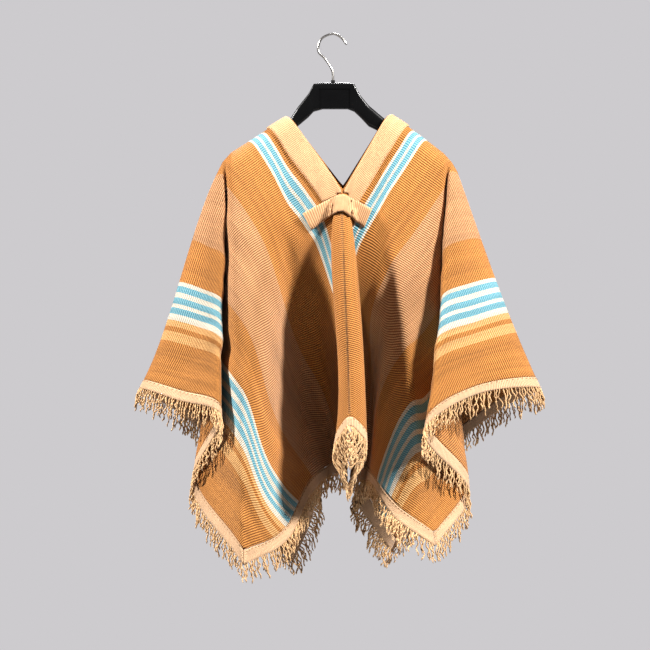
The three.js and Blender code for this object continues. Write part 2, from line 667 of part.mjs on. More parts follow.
// The hanger's body, from the end of one arm to the end of the other. At each x: top and bottom height, half
// depth, and how square its section is (1 is an oval, near 0 is a box).
function hangerBody() {
  const positions = HANGER.stations.flatMap(([x, top, bottom, halfDepth, oval]) => {
    const [middle, halfHeight] = [(top + bottom) / 2, (top - bottom) / 2];
    return Array.from({ length: HANGER.sides }, (_, s) => {
      const angle = (2 * Math.PI * (s + 0.5)) / HANGER.sides;
      const [c, d] = [Math.cos(angle), Math.sin(angle)].map((w) => Math.sign(w) * Math.abs(w) ** oval);
      return [x, halfDepth * c, middle + halfHeight * d];
    }).flat();
  });
  let body = toSolid(closedGeometry(positions, loftIndex(HANGER.stations.length, HANGER.sides)));
  const { x, width, top, bottom, depth, face } = HANGER.recess;
  const recess = new THREE.BoxGeometry(width, 2 * depth, top - bottom);
  recess.translate(x, -face, (top + bottom) / 2);
  body = body.subtract(toSolid(recess));
  const { radius, seat, boreDepth } = HOOK;
  const bore = new THREE.CylinderGeometry(radius + SEAM_GAP, radius + SEAM_GAP, 2 * boreDepth, HOOK.sides);
  bore.rotateX(Math.PI / 2).translate(0, 0, seat);
  return fromSolid(body.subtract(toSolid(bore)));
}

// The steel hook: a bent wire whose foot stands in the body's bore.
function hook() {
  const { radius, sides, bends, seat, boreDepth } = HOOK;
  const path = new THREE.CatmullRomCurve3([
    new THREE.Vector3(0, 0, seat - boreDepth + SEAM_GAP),
    new THREE.Vector3(0, 0, seat + 1),
    ...bends.map(([x, z]) => new THREE.Vector3(x, 0, z)),
  ]);
  const section = new THREE.Shape(Array.from({ length: sides }, (_, s) => new THREE.Vector2(
    radius * Math.cos((2 * Math.PI * s) / sides),
    radius * Math.sin((2 * Math.PI * s) / sides),
  )));
  return new THREE.ExtrudeGeometry(section, { extrudePath: path, steps: HOOK.steps, bevelEnabled: false });
}

// The nut is a ring round the wire, standing on the body.
function nut() {
  const { outer, height } = NUT;
  const inner = (HOOK.radius + SEAM_GAP) / Math.cos(Math.PI / 6);
  const low = HOOK.seat + SEAM_GAP;
  const outline = [[inner, low], [outer, low], [outer, low + height], [inner, low + height], [inner, low]];
  const ringShape = new THREE.LatheGeometry(outline.map(([r, z]) => new THREE.Vector2(r, z)), 6);
  return ringShape.rotateX(Math.PI / 2);
}

const cloth = { color: 0xb98a35, roughness: 0.95, metalness: 0 };
const tan = { color: 0xb98f66, roughness: 0.95, metalness: 0 };
const wool = { color: 0xa9855a, roughness: 0.95, metalness: 0 };
const blackPlastic = { color: 0x151516, roughness: 0.3, metalness: 0 };
const steel = { color: 0xa8a39a, roughness: 0.3, metalness: 1 };

const front = { left: ringIndex('corner', -1, -1), right: ringIndex('corner', 1, -1) };
const back = { left: ringIndex('corner', -1, 1), right: ringIndex('corner', 1, 1) };

const pieces = [
  ['panel_left', panel(-1), cloth],
  ['panel_right', panel(1), cloth],
  ['neck_binding_left', binding(-1), tan],
  ['neck_binding_right', binding(1), tan],
  ['neck_tab', neckTab(), tan],
  ['fringe_front_left', edging(-1, front.left, FRONT_MIDDLE), wool],
  ['fringe_front_right', edging(1, FRONT_MIDDLE, front.right), wool],
  ['fringe_side_left', edging(-1, back.left, front.left), wool],
  ['fringe_side_right', edging(1, front.right, back.right), wool],
  ['fringe_back_left', edging(-1, BACK_MIDDLE, back.left), wool],
  ['fringe_back_right', edging(1, back.right, BACK_MIDDLE), wool],
  ['hanger_body', hangerBody(), blackPlastic],
  ['hanger_hook', hook(), steel],
  ['hook_nut', nut(), blackPlastic],
];

const group = new THREE.Group();
for (const [name, geometry, look] of pieces) {
  const mesh = new THREE.Mesh(geometry, new THREE.MeshStandardMaterial(look));
  mesh.name = name;
  group.add(mesh);
}
export default group;
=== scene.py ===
# %% [markdown]
# # A hand-woven poncho on a hanger
#
# The poncho is two striped wool panels, joined down the middle of the front and the back, with a slit left
# open for the head. A tan band binds the slit, a short tab closes its foot, and a narrow fringed tape runs
# round the whole edge. It hangs in folds on a black plastic hanger.
#
# The frame gives the solids that every piece is fitted to. Lengths below are in millimetres, as they are
# on the solids, and turn into metres when a mesh is made.

# %% The frame and the tools
import math

import bmesh
import bpy
import numpy as np
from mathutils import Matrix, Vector


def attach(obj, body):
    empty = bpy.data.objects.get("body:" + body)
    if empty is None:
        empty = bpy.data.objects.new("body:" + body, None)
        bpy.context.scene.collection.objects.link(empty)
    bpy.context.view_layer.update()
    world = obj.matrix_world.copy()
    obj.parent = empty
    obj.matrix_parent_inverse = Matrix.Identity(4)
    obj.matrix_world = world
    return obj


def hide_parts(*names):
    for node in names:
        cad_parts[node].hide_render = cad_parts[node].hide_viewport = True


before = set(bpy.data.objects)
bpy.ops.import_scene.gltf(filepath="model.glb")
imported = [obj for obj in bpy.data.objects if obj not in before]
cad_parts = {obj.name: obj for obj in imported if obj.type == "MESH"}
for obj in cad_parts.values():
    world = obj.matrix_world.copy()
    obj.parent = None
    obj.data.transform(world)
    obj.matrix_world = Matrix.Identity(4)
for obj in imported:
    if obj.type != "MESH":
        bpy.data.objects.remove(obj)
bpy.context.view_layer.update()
METRES = 0.001
SEED = 11


def add_object(name, data):
    piece = bpy.data.objects.new(name, data)
    bpy.context.scene.collection.objects.link(piece)
    return piece


# %% [markdown]
# ## The camera
#
# The view is level and square to the front, with a lens of about 100 mm. A picture point and a depth give
# a real place: that is how the folds were measured.

# %% The camera and the picture's scale
MM_PER_PIXEL = 1.75  # at the hanger's depth
MIDDLE = 325  # of the picture, across and down
ORIGIN_X, ORIGIN_Y = 333, 35  # the picture point where the hook rests on its rail
DISTANCE = 3150  # from the camera to the hanger
SENSOR = 36


def place(x, y, depth):
    """The real place, in mm, of picture point (x, y) at that depth behind the hanger."""
    x, y, depth = (np.asarray(value, float) for value in (x, y, depth))
    grow = 1 + depth / DISTANCE
    right = (MIDDLE - ORIGIN_X + (x - MIDDLE) * grow) * MM_PER_PIXEL
    up = (ORIGIN_Y - MIDDLE - (y - MIDDLE) * grow) * MM_PER_PIXEL
    return np.stack(np.broadcast_arrays(right, depth, up), -1)


lens = bpy.data.cameras.new("camera")
lens.sensor_width = SENSOR
lens.lens = SENSOR * DISTANCE / (2 * MIDDLE * MM_PER_PIXEL)
camera = add_object("camera", lens)
camera.location = Vector((
    (MIDDLE - ORIGIN_X) * MM_PER_PIXEL, -DISTANCE, (ORIGIN_Y - MIDDLE) * MM_PER_PIXEL,
)) * METRES
camera.rotation_euler = (math.pi / 2, 0, 0)
bpy.context.scene.camera = camera
print("lens:", round(lens.lens, 1), "mm")

# %% [markdown]
# ## How the cloth hangs
#
# Every point of a panel has a flat place, as it was cut, and a hung place. Each row of the tables is one
# fold line from the neck or the shoulder down to the edge. `start` is where it begins, along the slit and
# then the shoulder; `end` is where it ends, along the hem and then up the side edge. At chest and waist
# height the row gives across and along on the flat panel, then picture x, picture y and depth. The last
# three are the same at the edge.

# %% The fold tables
PANEL_WIDTH, HALF_LENGTH, HALF_SLIT = 545, 575, 168
ARM_RADIUS = 20
ROUND_FOLDS = 0.2
FOLD_COLUMNS = [("name", "U8")] + [(word, float) for word in (
    "start", "end",
    "chest_across", "chest_along", "chest_x", "chest_y", "chest_depth",
    "waist_across", "waist_along", "waist_x", "waist_y", "waist_depth",
    "edge_x", "edge_y", "edge_depth",
)]
FRONT_SEAM = [("seam", 0, 0, 0, 270, 343, 248, -87, 0, 371, 345.5, 308, -112, 350, 426, -165)]
BACK_SEAM = [("seam", 0, 0, 0, 270, 343, 238, 72, 0, 371, 343.5, 296, 92, 344, 412, 125)]
LEFT_SHOULDER = [("shoulder", 318, 1120, 249, 0, 198, 225, 0, 348, 0, 180, 283, 0, 140, 388, 0)]
RIGHT_SHOULDER = [("shoulder", 318, 1120, 249, 0, 475.6, 226, 0, 348, 0, 494.8, 279.3, 0, 540, 388, 0)]
FRONT_LEFT = [
    ("edge", 6, 26, 13, 264, 335, 247, -78, 17, 370, 337.6, 310, -102, 337.5, 440, -150),
    ("foot", 14, 135, 46, 256, 334.5, 255, -52, 82, 362, 339.5, 322, -48, 346, 473, -48),
    ("valley", 40, 205, 80, 238, 319, 256, -42, 125, 348, 322, 335, -4, 330, 474, 12),
    ("slope", 90, 310, 103, 204, 299, 255, -45, 152, 326, 297, 334, -15, 310.5, 495, -55),
    ("swell", 168, 420, 99, 142, 282, 221, -46, 202, 286, 275, 333, -70, 290, 536, -115),
    ("corner", 278, 545, 232, 179, 241, 279, -78, 346, 335, 243.5, 390, -120, 244, 565, -175),
    ("turn", 293, 795, 235, 103, 224, 254, -13, 342, 192, 216, 338, -20, 193, 476, -36),
    ("fold", 305, 930, 243, 57, 223.8, 235, -46, 346, 108, 222.2, 300, -75, 219.8, 413, -125),
    ("sleeve", 313, 1028, 246, 26, 210, 230, -31, 347, 50, 203, 290, -50, 178, 400, -72),
]
FRONT_RIGHT = [
    ("edge", 6, 26, 13, 264, 351, 247, -76, 17, 370, 356.5, 310, -100, 363.5, 438, -148),
    ("foot", 14, 130, 42, 256, 350, 258, -50, 70, 358, 354, 326, -42, 351, 474, -50),
    ("valley", 40, 215, 76, 238, 353.5, 266, -40, 128, 340, 364, 333, -10, 364, 480, -8),
    ("slope", 90, 330, 130, 205, 381, 261, -48, 215, 290, 385, 330, -45, 373, 484, -62),
    ("swell", 168, 440, 120, 145, 395, 226, -50, 275, 311, 406, 347, -75, 394, 517, -118),
    ("corner", 278, 545, 232, 190, 430, 284, -50, 346, 354, 426, 394, -66, 435, 546, -112),
    ("turn", 293, 701, 235, 125, 445, 256, -12, 346, 235, 452, 345, -12, 469, 492, -14),
    ("fold", 305, 865, 243, 68, 446.5, 230, -50, 346, 130, 441.7, 296, -84, 425.4, 428, -142),
    ("sleeve", 313, 1000, 246, 31, 462, 224, -34, 347, 60, 471, 284, -55, 480, 393, -75),
]
BACK_LEFT = [
    ("edge", 6, 45, 16, 262, 331, 240, 62, 26, 368, 329, 300, 76, 329, 424, 106),
    ("foot", 14, 125, 44, 254, 326, 250, 46, 66, 360, 325, 318, 56, 323, 453, 96),
    ("valley", 40, 205, 72, 238, 316, 250, 46, 106, 348, 311, 325, 60, 315, 466, 108),
    ("slope", 90, 300, 108, 205, 298, 252, 58, 158, 326, 291, 333, 92, 317, 478, 62),
    ("swell", 168, 430, 103, 142, 282, 221, 46, 213, 288, 265, 343, 62, 312.5, 515, 116),
    ("corner", 278, 545, 232, 179, 243, 281, 64, 345, 330, 250, 392, 98, 293, 562, 100),
    ("turn", 293, 740, 235, 107, 228, 262, 72, 342, 200, 223, 345, 88, 230, 490, 62),
    ("fold", 305, 865, 243, 62, 219, 245, 42, 346, 120, 215, 315, 55, 217, 447, 30),
    ("sleeve", 313, 985, 246, 30, 208, 232, 48, 347, 60, 200, 298, 62, 186, 417, 86),
]
BACK_RIGHT = [
    ("edge", 6, 45, 16, 262, 355, 240, 62, 26, 368, 357, 300, 76, 360, 424, 106),
    ("foot", 14, 125, 44, 254, 359, 250, 50, 66, 360, 361, 318, 62, 360, 455, 92),
    ("valley", 40, 205, 72, 238, 367, 250, 50, 106, 348, 372, 325, 74, 368, 477, 92),
    ("slope", 90, 310, 110, 205, 381, 258, 60, 158, 326, 392, 335, 92, 355.5, 498, 104),
    ("swell", 168, 430, 103, 142, 389, 219, 48, 213, 288, 412, 343, 62, 374, 528, 98),
    ("corner", 278, 545, 232, 185, 431, 285, 64, 345, 330, 426, 388, 98, 391, 551, 110),
    ("turn", 293, 740, 235, 107, 447, 262, 72, 342, 200, 455, 340, 88, 449, 484, 66),
    ("fold", 305, 865, 243, 62, 457, 240, 42, 346, 120, 460, 305, 55, 455, 447, 32),
    ("sleeve", 313, 985, 246, 30, 466, 228, 46, 347, 60, 478, 290, 60, 500, 409, 80),
]
# The shoulder line over each arm: distance from the neck, picture x and y.
LEFT_ARM = [
    (0, 286, 118.6), (34, 269, 129), (83, 246, 144),
    (111, 231.6, 153), (133, 223, 162.6), (150, 218, 173),
]
RIGHT_ARM = [
    (0, 390.4, 116), (34, 406.7, 126.3), (81, 428, 142),
    (115, 443.5, 154), (135, 451.5, 163), (150, 456.7, 172),
]
SLIT_FOOT_FRONT = (343, 190, -60)
SLIT_FOOT_BACK = (343, 186, 45)

RING_PARTS = [
    (LEFT_SHOULDER, -1, -1), (FRONT_LEFT[::-1], -1, -1), (FRONT_SEAM, -1, -1), (FRONT_RIGHT, 1, -1),
    (RIGHT_SHOULDER, 1, -1), (BACK_RIGHT[::-1], 1, 1), (BACK_SEAM, 1, 1), (BACK_LEFT, -1, 1),
]
ring = np.array([row for rows, _, _ in RING_PARTS for row in rows], dtype=FOLD_COLUMNS)
SIDE = np.array([side for rows, side, _ in RING_PARTS for _ in rows])
FACE = np.array([face for rows, _, face in RING_PARTS for _ in rows])
COUNT = len(ring)
SEAM, SHOULDER, CORNER = (ring["name"] == word for word in ("seam", "shoulder", "corner"))
FRONT_MIDDLE, BACK_MIDDLE = np.flatnonzero(SEAM)
CORNER_FRONT_LEFT, CORNER_FRONT_RIGHT, CORNER_BACK_RIGHT, CORNER_BACK_LEFT = np.flatnonzero(CORNER)
print("folds:", COUNT, "corners:", np.flatnonzero(CORNER))

# %% [markdown]
# ## The hung surface
#
# A place on the cloth is `q`, how many folds round the ring, and `v`, how far down its fold line, from 0
# to 1. Four guide lines run round the ring, at the top, the chest, the waist and the edge. A smooth curve
# down through them gives the point. The rounding over the hanger's arm is added near the top.

# %% From a place on the cloth to a place in the room
CHEST, WAIST, EDGE = (
    place(ring[level + "_x"], ring[level + "_y"], ring[level + "_depth"])
    for level in ("chest", "waist", "edge")
)
CHEST_CUT, WAIST_CUT = (
    np.stack([SIDE * ring[level + "_across"], FACE * ring[level + "_along"]], -1)
    for level in ("chest", "waist")
)
AFTER = (np.arange(COUNT) + 1) % COUNT
# How far apart neighbouring folds are on the flat cloth, halfway between waist and edge.
GAP = 0.5 * (np.linalg.norm(WAIST_CUT[AFTER] - WAIST_CUT, axis=1) + np.abs(ring["end"][AFTER] - ring["end"]))


def length(vectors):
    return np.linalg.norm(vectors, axis=-1, keepdims=True)


def unit(vectors):
    return vectors / length(vectors)


def slopes(points, cut=False, edge=False):
    """The direction of a guide line as it reaches each fold, and as it leaves it."""
    ahead = (points[AFTER] - points) / GAP[:, None]
    behind = np.roll(ahead, 1, 0)
    near = np.roll(GAP, 1)[:, None]
    mean = (behind * GAP[:, None] + ahead * near) / (near + GAP[:, None])
    if cut:
        return mean, mean
    down = unit(EDGE - CHEST)

    def level(vectors):
        return vectors - (vectors * down).sum(1, keepdims=True) * down

    roundest = ROUND_FOLDS * (length(level(ahead)) + length(level(behind)))
    mean = mean + level(mean) * (np.maximum(roundest / length(level(mean)), 1) - 1)
    if not edge:
        return mean, mean
    return np.where(CORNER[:, None], behind, mean), np.where(CORNER[:, None], ahead, mean)


GUIDES = {
    "chest": (CHEST, *slopes(CHEST)),
    "waist": (WAIST, *slopes(WAIST)),
    "edge": (EDGE, *slopes(EDGE, edge=True)),
    "chest_cut": (CHEST_CUT, *slopes(CHEST_CUT, cut=True)),
    "waist_cut": (WAIST_CUT, *slopes(WAIST_CUT, cut=True)),
}


def hermite(f):
    return 2 * f**3 - 3 * f**2 + 1, f**3 - 2 * f**2 + f, 3 * f**2 - 2 * f**3, f**3 - f**2


def guide(key, i, f):
    points, arriving, leaving = GUIDES[key]
    h0, h1, h2, h3 = (h[:, None] for h in hermite(f))
    gap = GAP[i][:, None]
    return h0 * points[i] + h1 * gap * leaving[i] + h2 * points[AFTER[i]] + h3 * gap * arriving[AFTER[i]]


def run(key, i, f, spacing):
    """A length that only grows or only shrinks inside each quarter of the ring."""
    values, ahead = ring[key], (ring[key][AFTER] - ring[key]) / spacing
    behind = np.roll(ahead, 1)
    same = behind * ahead > 0
    steady = np.where(same, 2 * behind * ahead / np.where(same, behind + ahead, 1), np.nan)
    h0, h1, h2, h3 = hermite(f)
    leave = np.where(np.isnan(steady[i]), ahead[i], steady[i])
    reach = np.where(np.isnan(steady[AFTER[i]]), ahead[i], steady[AFTER[i]])
    return h0 * values[i] + h1 * spacing[i] * leave + h2 * values[AFTER[i]] + h3 * spacing[i] * reach


def top_place(side, face, start):
    """The top edge: down the slit for the first HALF_SLIT, then out along the shoulder line."""
    found = np.zeros((len(start), 3))
    for sign, arm in ((-1, LEFT_ARM), (1, RIGHT_ARM)):
        out, x, y = np.array(arm, float).T
        line = place(x, y, 0)
        along = np.stack([np.interp(start - HALF_SLIT, out, line[:, k]) for k in range(3)], -1)
        for turn, foot in ((-1, SLIT_FOOT_FRONT), (1, SLIT_FOOT_BACK)):
            foot = place(*foot) - np.array([0, turn * ARM_RADIUS, (math.pi / 2 - 1) * ARM_RADIUS])
            down = np.clip(1 - start / HALF_SLIT, 0, 1)[:, None]
            here = (side == sign) & (face == turn)
            slit = line[0] * (1 - down) + foot * down
            found[here] = np.where(start[:, None] < HALF_SLIT, slit, along)[here]
    return found


def top_cut(side, face, start):
    return np.stack([side * np.maximum(start - HALF_SLIT, 0), face * np.maximum(HALF_SLIT - start, 0)], -1)


def edge_cut(side, face, end):
    return np.stack([
        side * np.minimum(end, PANEL_WIDTH), face * (HALF_LENGTH - np.maximum(end - PANEL_WIDTH, 0)),
    ], -1)


LEVELS = np.array([0, 0.25, 0.5, 1])


def level_weights(v):
    others = [np.delete(LEVELS, k) for k in range(len(LEVELS))]
    return [
        np.prod([(v - o) / (here - o) for o in other], axis=0)[:, None]
        for here, other in zip(LEVELS, others)
    ]


def flat_pairs(q, v):
    return (a.ravel() for a in np.broadcast_arrays(np.asarray(q, float), np.asarray(v, float)))


def surface(q, v):
    """Hung place and flat place of the cloth at (q, v), and how far along the edge q ends, in mm."""
    q, v = flat_pairs(q, v)
    q = q % COUNT
    i = np.floor(q).astype(int)
    f = q - i
    side = np.where(SEAM[i], SIDE[AFTER[i]], SIDE[i])
    face = np.where(SHOULDER[i], FACE[AFTER[i]], FACE[i])
    start = run("start", i, f, np.ones(COUNT))
    end = run("end", i, f, GAP)
    w = level_weights(v)
    at = w[0] * top_place(side, face, start) + w[1] * guide("chest", i, f) + w[2] * guide("waist", i, f)
    at += w[3] * guide("edge", i, f)
    cut = w[0] * top_cut(side, face, start) + w[1] * guide("chest_cut", i, f)
    cut += w[2] * guide("waist_cut", i, f)
    cut += w[3] * edge_cut(side, face, end)
    turned = np.minimum(np.abs(cut[:, 1]) / ARM_RADIUS, math.pi / 2)
    fade = np.maximum(0, 1 - v) ** 3
    at[:, 1] += face * ARM_RADIUS * np.sin(turned) * fade
    at[:, 2] += ARM_RADIUS * (turned - 1 + np.cos(turned)) * fade
    return at, cut, end


def outward(q, v):
    """The direction out of the cloth. Both sides of a seam or a corner share the one that lies between."""
    q, v = flat_pairs(q, v)
    tiny = 0.01
    nearest = np.round(q).astype(int)
    shared = (SEAM | CORNER)[nearest % COUNT] & (np.abs(q - nearest) < 0.05)
    q = np.where(shared, nearest, q)
    down = surface(q, v + tiny)[0] - surface(q, np.maximum(v - tiny, 0))[0]
    across = surface(q + tiny, v)[0] - surface(q - tiny, v)[0]
    return unit(np.cross(down, across))


HALVINGS = 30


def inset_place(q, inset):
    """How far down each fold line comes within `inset` mm of the panel's edge."""
    low, high = np.full(len(q), 0.5), np.ones(len(q))
    for _ in range(HALVINGS):
        middle = (low + high) / 2
        cut = np.abs(surface(q, middle)[1])
        left = np.minimum(PANEL_WIDTH - cut[:, 0], HALF_LENGTH - cut[:, 1])
        low, high = np.where(left > inset, middle, low), np.where(left > inset, high, middle)
    return low


# A coarse chart of the surface, where the solver starts. Its columns lie just beside the folds.
CHART_STEP, CHART_ROWS, CHART_CROWD, BESIDE = 0.25, 40, 1.6, 1e-4
CHART_Q, CHART_V = (a.ravel() for a in np.meshgrid(
    np.arange(0, COUNT, CHART_STEP) + BESIDE, np.linspace(0, 1, CHART_ROWS) ** CHART_CROWD, indexing="ij",
))
CHART_AT, CHART_CUT, _ = surface(CHART_Q, CHART_V)
# The solver takes so many steps. None goes further than this round the ring or down a fold line.
SOLVER_STEPS, MOST_ROUND, MOST_DOWN = 14, 0.3, 0.1


def solve(measure, chart, wanted, allowed):
    """The (q, v) at which two measures of the surface reach their wanted values."""
    far = np.abs(chart[None, :, :] - wanted[:, None, :]).sum(2)
    far[~allowed] = np.inf
    nearest = far.argmin(1)
    q, v = CHART_Q[nearest].copy(), CHART_V[nearest].copy()
    tiny = 1e-3
    for _ in range(SOLVER_STEPS):
        here = measure(q, v)
        right, down = (measure(q + tiny, v) - here) / tiny, (measure(q, v + tiny) - here) / tiny
        miss = wanted - here
        area = right[:, 0] * down[:, 1] - right[:, 1] * down[:, 0]
        area = np.where(np.abs(area) < 1, np.inf, area)
        round_by = (miss[:, 0] * down[:, 1] - miss[:, 1] * down[:, 0]) / area
        down_by = (right[:, 0] * miss[:, 1] - right[:, 1] * miss[:, 0]) / area
        q += np.clip(round_by, -MOST_ROUND, MOST_ROUND)
        v += np.clip(down_by, -MOST_DOWN, MOST_DOWN)
    return q, v


def hang(across, along):
    """(q, v) of flat places on the panels."""
    wanted = np.stack([across, along], -1).astype(float)
    left = (CHART_Q < FRONT_MIDDLE) | (CHART_Q > BACK_MIDDLE)
    front = CHART_Q < COUNT / 2
    allowed = np.where(wanted[:, :1] < 0, left, ~left) & np.where(wanted[:, 1:] < 0, front, ~front)
    return solve(lambda q, v: surface(q, v)[1], CHART_CUT, wanted, allowed)


def behind_picture(x, z):
    """(q, v) of the front of the cloth behind places in the front view."""
    wanted = np.stack([x, z], -1)
    front = np.broadcast_to(CHART_Q < COUNT / 2, (len(wanted), len(CHART_Q)))
    return solve(lambda q, v: surface(q, v)[0][:, [0, 2]], CHART_AT[:, [0, 2]], wanted, front)


print("left sleeve tip:", surface(0, 1)[0].round(), "front corner:", surface(CORNER_FRONT_LEFT, 1)[0].round())

# %% [markdown]
# ## Making meshes
#
# `joined_mesh` makes a mesh from points and faces, and `grid_faces` joins a grid of points. `tubes` makes
# round strands, many at a time, for the fringe, the stitches and the hook. Each piece rides on the one
# rigid body and takes its finish from the material it is given.

# %% Mesh makers
def new_piece(name, mesh, material, nodes=()):
    piece = add_object(name, mesh)
    mesh.materials.append(material)
    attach(piece, "root")
    if nodes:
        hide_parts(*nodes)
    return piece


def finished_mesh(name, shape):
    mesh = bpy.data.meshes.new(name)
    shape.to_mesh(mesh)
    shape.free()
    return mesh


def joined_mesh(name, points, faces, cut=None, merge=0.0):
    """A smooth mesh from points in mm, with the flat place of each point, in metres, kept as its cut."""
    shape = bmesh.new()
    corners = [shape.verts.new(p) for p in np.asarray(points) * METRES]
    layer = shape.loops.layers.uv.new("cut")
    cut = None if cut is None else np.asarray(cut) * METRES
    for numbers in faces:
        face = shape.faces.new([corners[n] for n in numbers])
        face.smooth = True
        if cut is not None:
            for loop, n in zip(face.loops, numbers):
                loop[layer].uv = cut[n]
    if merge:
        bmesh.ops.remove_doubles(shape, verts=shape.verts, dist=merge * METRES)
    return finished_mesh(name, shape)


def grid_faces(columns, rows):
    number = np.arange(columns * rows).reshape(columns, rows)
    corners = [number[:-1, :-1], number[:-1, 1:], number[1:, 1:], number[1:, :-1]]
    return np.stack(corners, -1).reshape(-1, 4).tolist()


def ring_faces(number):
    """Faces between rings of numbered points. The last axis goes round a ring."""
    after = np.roll(number, -1, -1)
    corners = [number[..., :-1, :], after[..., :-1, :], after[..., 1:, :], number[..., 1:, :]]
    return np.stack(corners, -1).reshape(-1, 4).tolist()


def thicken(piece, thickness):
    """A wall of cloth, half of it on each side of the surface."""
    wall = piece.modifiers.new("thickness", "SOLIDIFY")
    wall.thickness = thickness * METRES
    wall.offset = 0
    wall.use_even_offset = False


# In a strand's flat place, once round counts as so many mm, and each strand starts so many mm further on.
AROUND, STRAND_SHIFT = 10, 7.0
ASKEW = np.array([0.31, 0.87, 0.38])  # a direction that no strand follows


def tubes(name, paths, radii, sides, flatten=0.0, turns=0.0):
    """Closed round strands along paths of shape (strand, step, 3), with radii of shape (strand, step)."""
    strands, steps, _ = paths.shape
    ahead = unit(np.gradient(paths, axis=1))
    right = unit(np.cross(ahead, np.broadcast_to(ASKEW, ahead.shape)))
    up = np.cross(right, ahead)
    angle = np.arange(sides) * 2 * math.pi / sides
    spin = np.arange(steps)[None, :, None] * turns * 2 * math.pi / steps
    oval = 1 + flatten * np.cos(2 * (angle[None, None, :] - spin))
    reach = (radii[:, :, None] * oval)[..., None]
    points = paths[:, :, None, :] + reach * (
        right[:, :, None, :] * np.cos(angle)[None, None, :, None]
        + up[:, :, None, :] * np.sin(angle)[None, None, :, None]
    )
    number = np.arange(strands * steps * sides).reshape(strands, steps, sides)
    walls = ring_faces(number)
    ends = number[:, 0, ::-1].tolist() + number[:, -1].tolist()
    done = np.concatenate([[0], np.cumsum(length(np.diff(paths[0], axis=0))[:, 0])])
    cut = np.stack(np.broadcast_arrays(
        (angle / angle[-1] * AROUND)[None, None, :],
        done[None, :, None] + STRAND_SHIFT * np.arange(strands)[:, None, None],
    ), -1).reshape(-1, 2)
    return joined_mesh(name, points.reshape(-1, 3), walls + ends, cut)


# %% [markdown]
# ## Materials
#
# A `Wire` is one value inside a material. Wires add, subtract, multiply and divide like numbers, and one
# method makes any other node.

# %% A small language for materials
class Wire:
    """One value inside a material."""

    def __init__(self, tree, socket):
        self.tree = tree
        self.socket = socket

    def node(self, kind, inputs=(), output=0, **settings):
        made = self.tree.nodes.new(kind)
        for name, value in settings.items():
            setattr(made, name, value)
        for spot, value in dict(inputs).items():
            if isinstance(value, Wire):
                self.tree.links.new(value.socket, made.inputs[spot])
            else:
                made.inputs[spot].default_value = value
        return Wire(self.tree, made.outputs[output])

    def maths(self, operation, other=0.0, swapped=False):
        first, second = (other, self) if swapped else (self, other)
        return self.node("ShaderNodeMath", {0: first, 1: second}, operation=operation)

    def __add__(self, other):
        return self.maths("ADD", other)

    def __sub__(self, other):
        return self.maths("SUBTRACT", other)

    def __rsub__(self, other):
        return self.maths("SUBTRACT", other, swapped=True)

    def __mul__(self, other):
        return self.maths("MULTIPLY", other)

    def __truediv__(self, other):
        return self.maths("DIVIDE", other)

    def __rtruediv__(self, other):
        return self.maths("DIVIDE", other, swapped=True)

    __radd__ = __add__
    __rmul__ = __mul__

    def wave(self, period):
        """From 0 to 1 and back, once every period."""
        return (self * (2 * math.pi / period)).maths("SINE") * 0.5 + 0.5


def linear(red, green, blue):
    """A colour as the eye names it, 0 to 255, turned into the amounts of light that materials use."""
    values = [c / 255 for c in (red, green, blue)]
    return (*[v / 12.92 if v <= 0.04045 else ((v + 0.055) / 1.055) ** 2.4 for v in values], 1)


def new_material(name, constants):
    made = bpy.data.materials.new(name)
    made.use_nodes = True
    shader = made.node_tree.nodes["Principled BSDF"]
    for socket, value in constants.items():
        shader.inputs[socket].default_value = value
    return made, shader, Wire(made.node_tree, None)


def join_wires(shader, **wires):
    for socket, wire in wires.items():
        wire.tree.links.new(wire.socket, shader.inputs[socket.replace("_", " ")])


def mixed(factor, first, second, how="MIX"):
    """Two colours mixed by a factor. At least one of the three is a wire."""
    wire = next(value for value in (factor, first, second) if isinstance(value, Wire))
    sockets = {0: factor, 6: first, 7: second}
    return wire.node("ShaderNodeMix", sockets, output=2, data_type="RGBA", blend_type=how)


def shaded(colour, shade):
    """A colour made darker or lighter by a grey of that strength."""
    grey = shade.node("ShaderNodeCombineColor", {0: shade, 1: shade, 2: shade})
    return mixed(1.0, colour, grey, "MULTIPLY")


def cut_place(wire):
    """Across and along the flat cloth, in mm."""
    cut = wire.node("ShaderNodeUVMap", uv_map="cut")
    return [cut.node("ShaderNodeSeparateXYZ", {0: cut}, output=k) / METRES for k in (0, 1)]


def grain(wire, scale, detail):
    """Noise over the piece's own space, with so many spots to a metre."""
    spot = wire.node("ShaderNodeTexCoord", output=3)
    return wire.node("ShaderNodeTexNoise", {"Vector": spot, "Scale": scale, "Detail": detail})


def noise(wire, across, along, detail=2.0):
    """Noise over the flat cloth. A place divided by 40 gives spots of 40 mm."""
    spot = wire.node("ShaderNodeCombineXYZ", {0: across, 1: along})
    sockets = {"Vector": spot, "Scale": 1.0, "Detail": detail, "Roughness": 0.55}
    return wire.node("ShaderNodeTexNoise", sockets)


def bump(height, distance, strength=1.0):
    sockets = {"Height": height, "Distance": distance * METRES, "Strength": strength}
    return height.node("ShaderNodeBump", sockets)
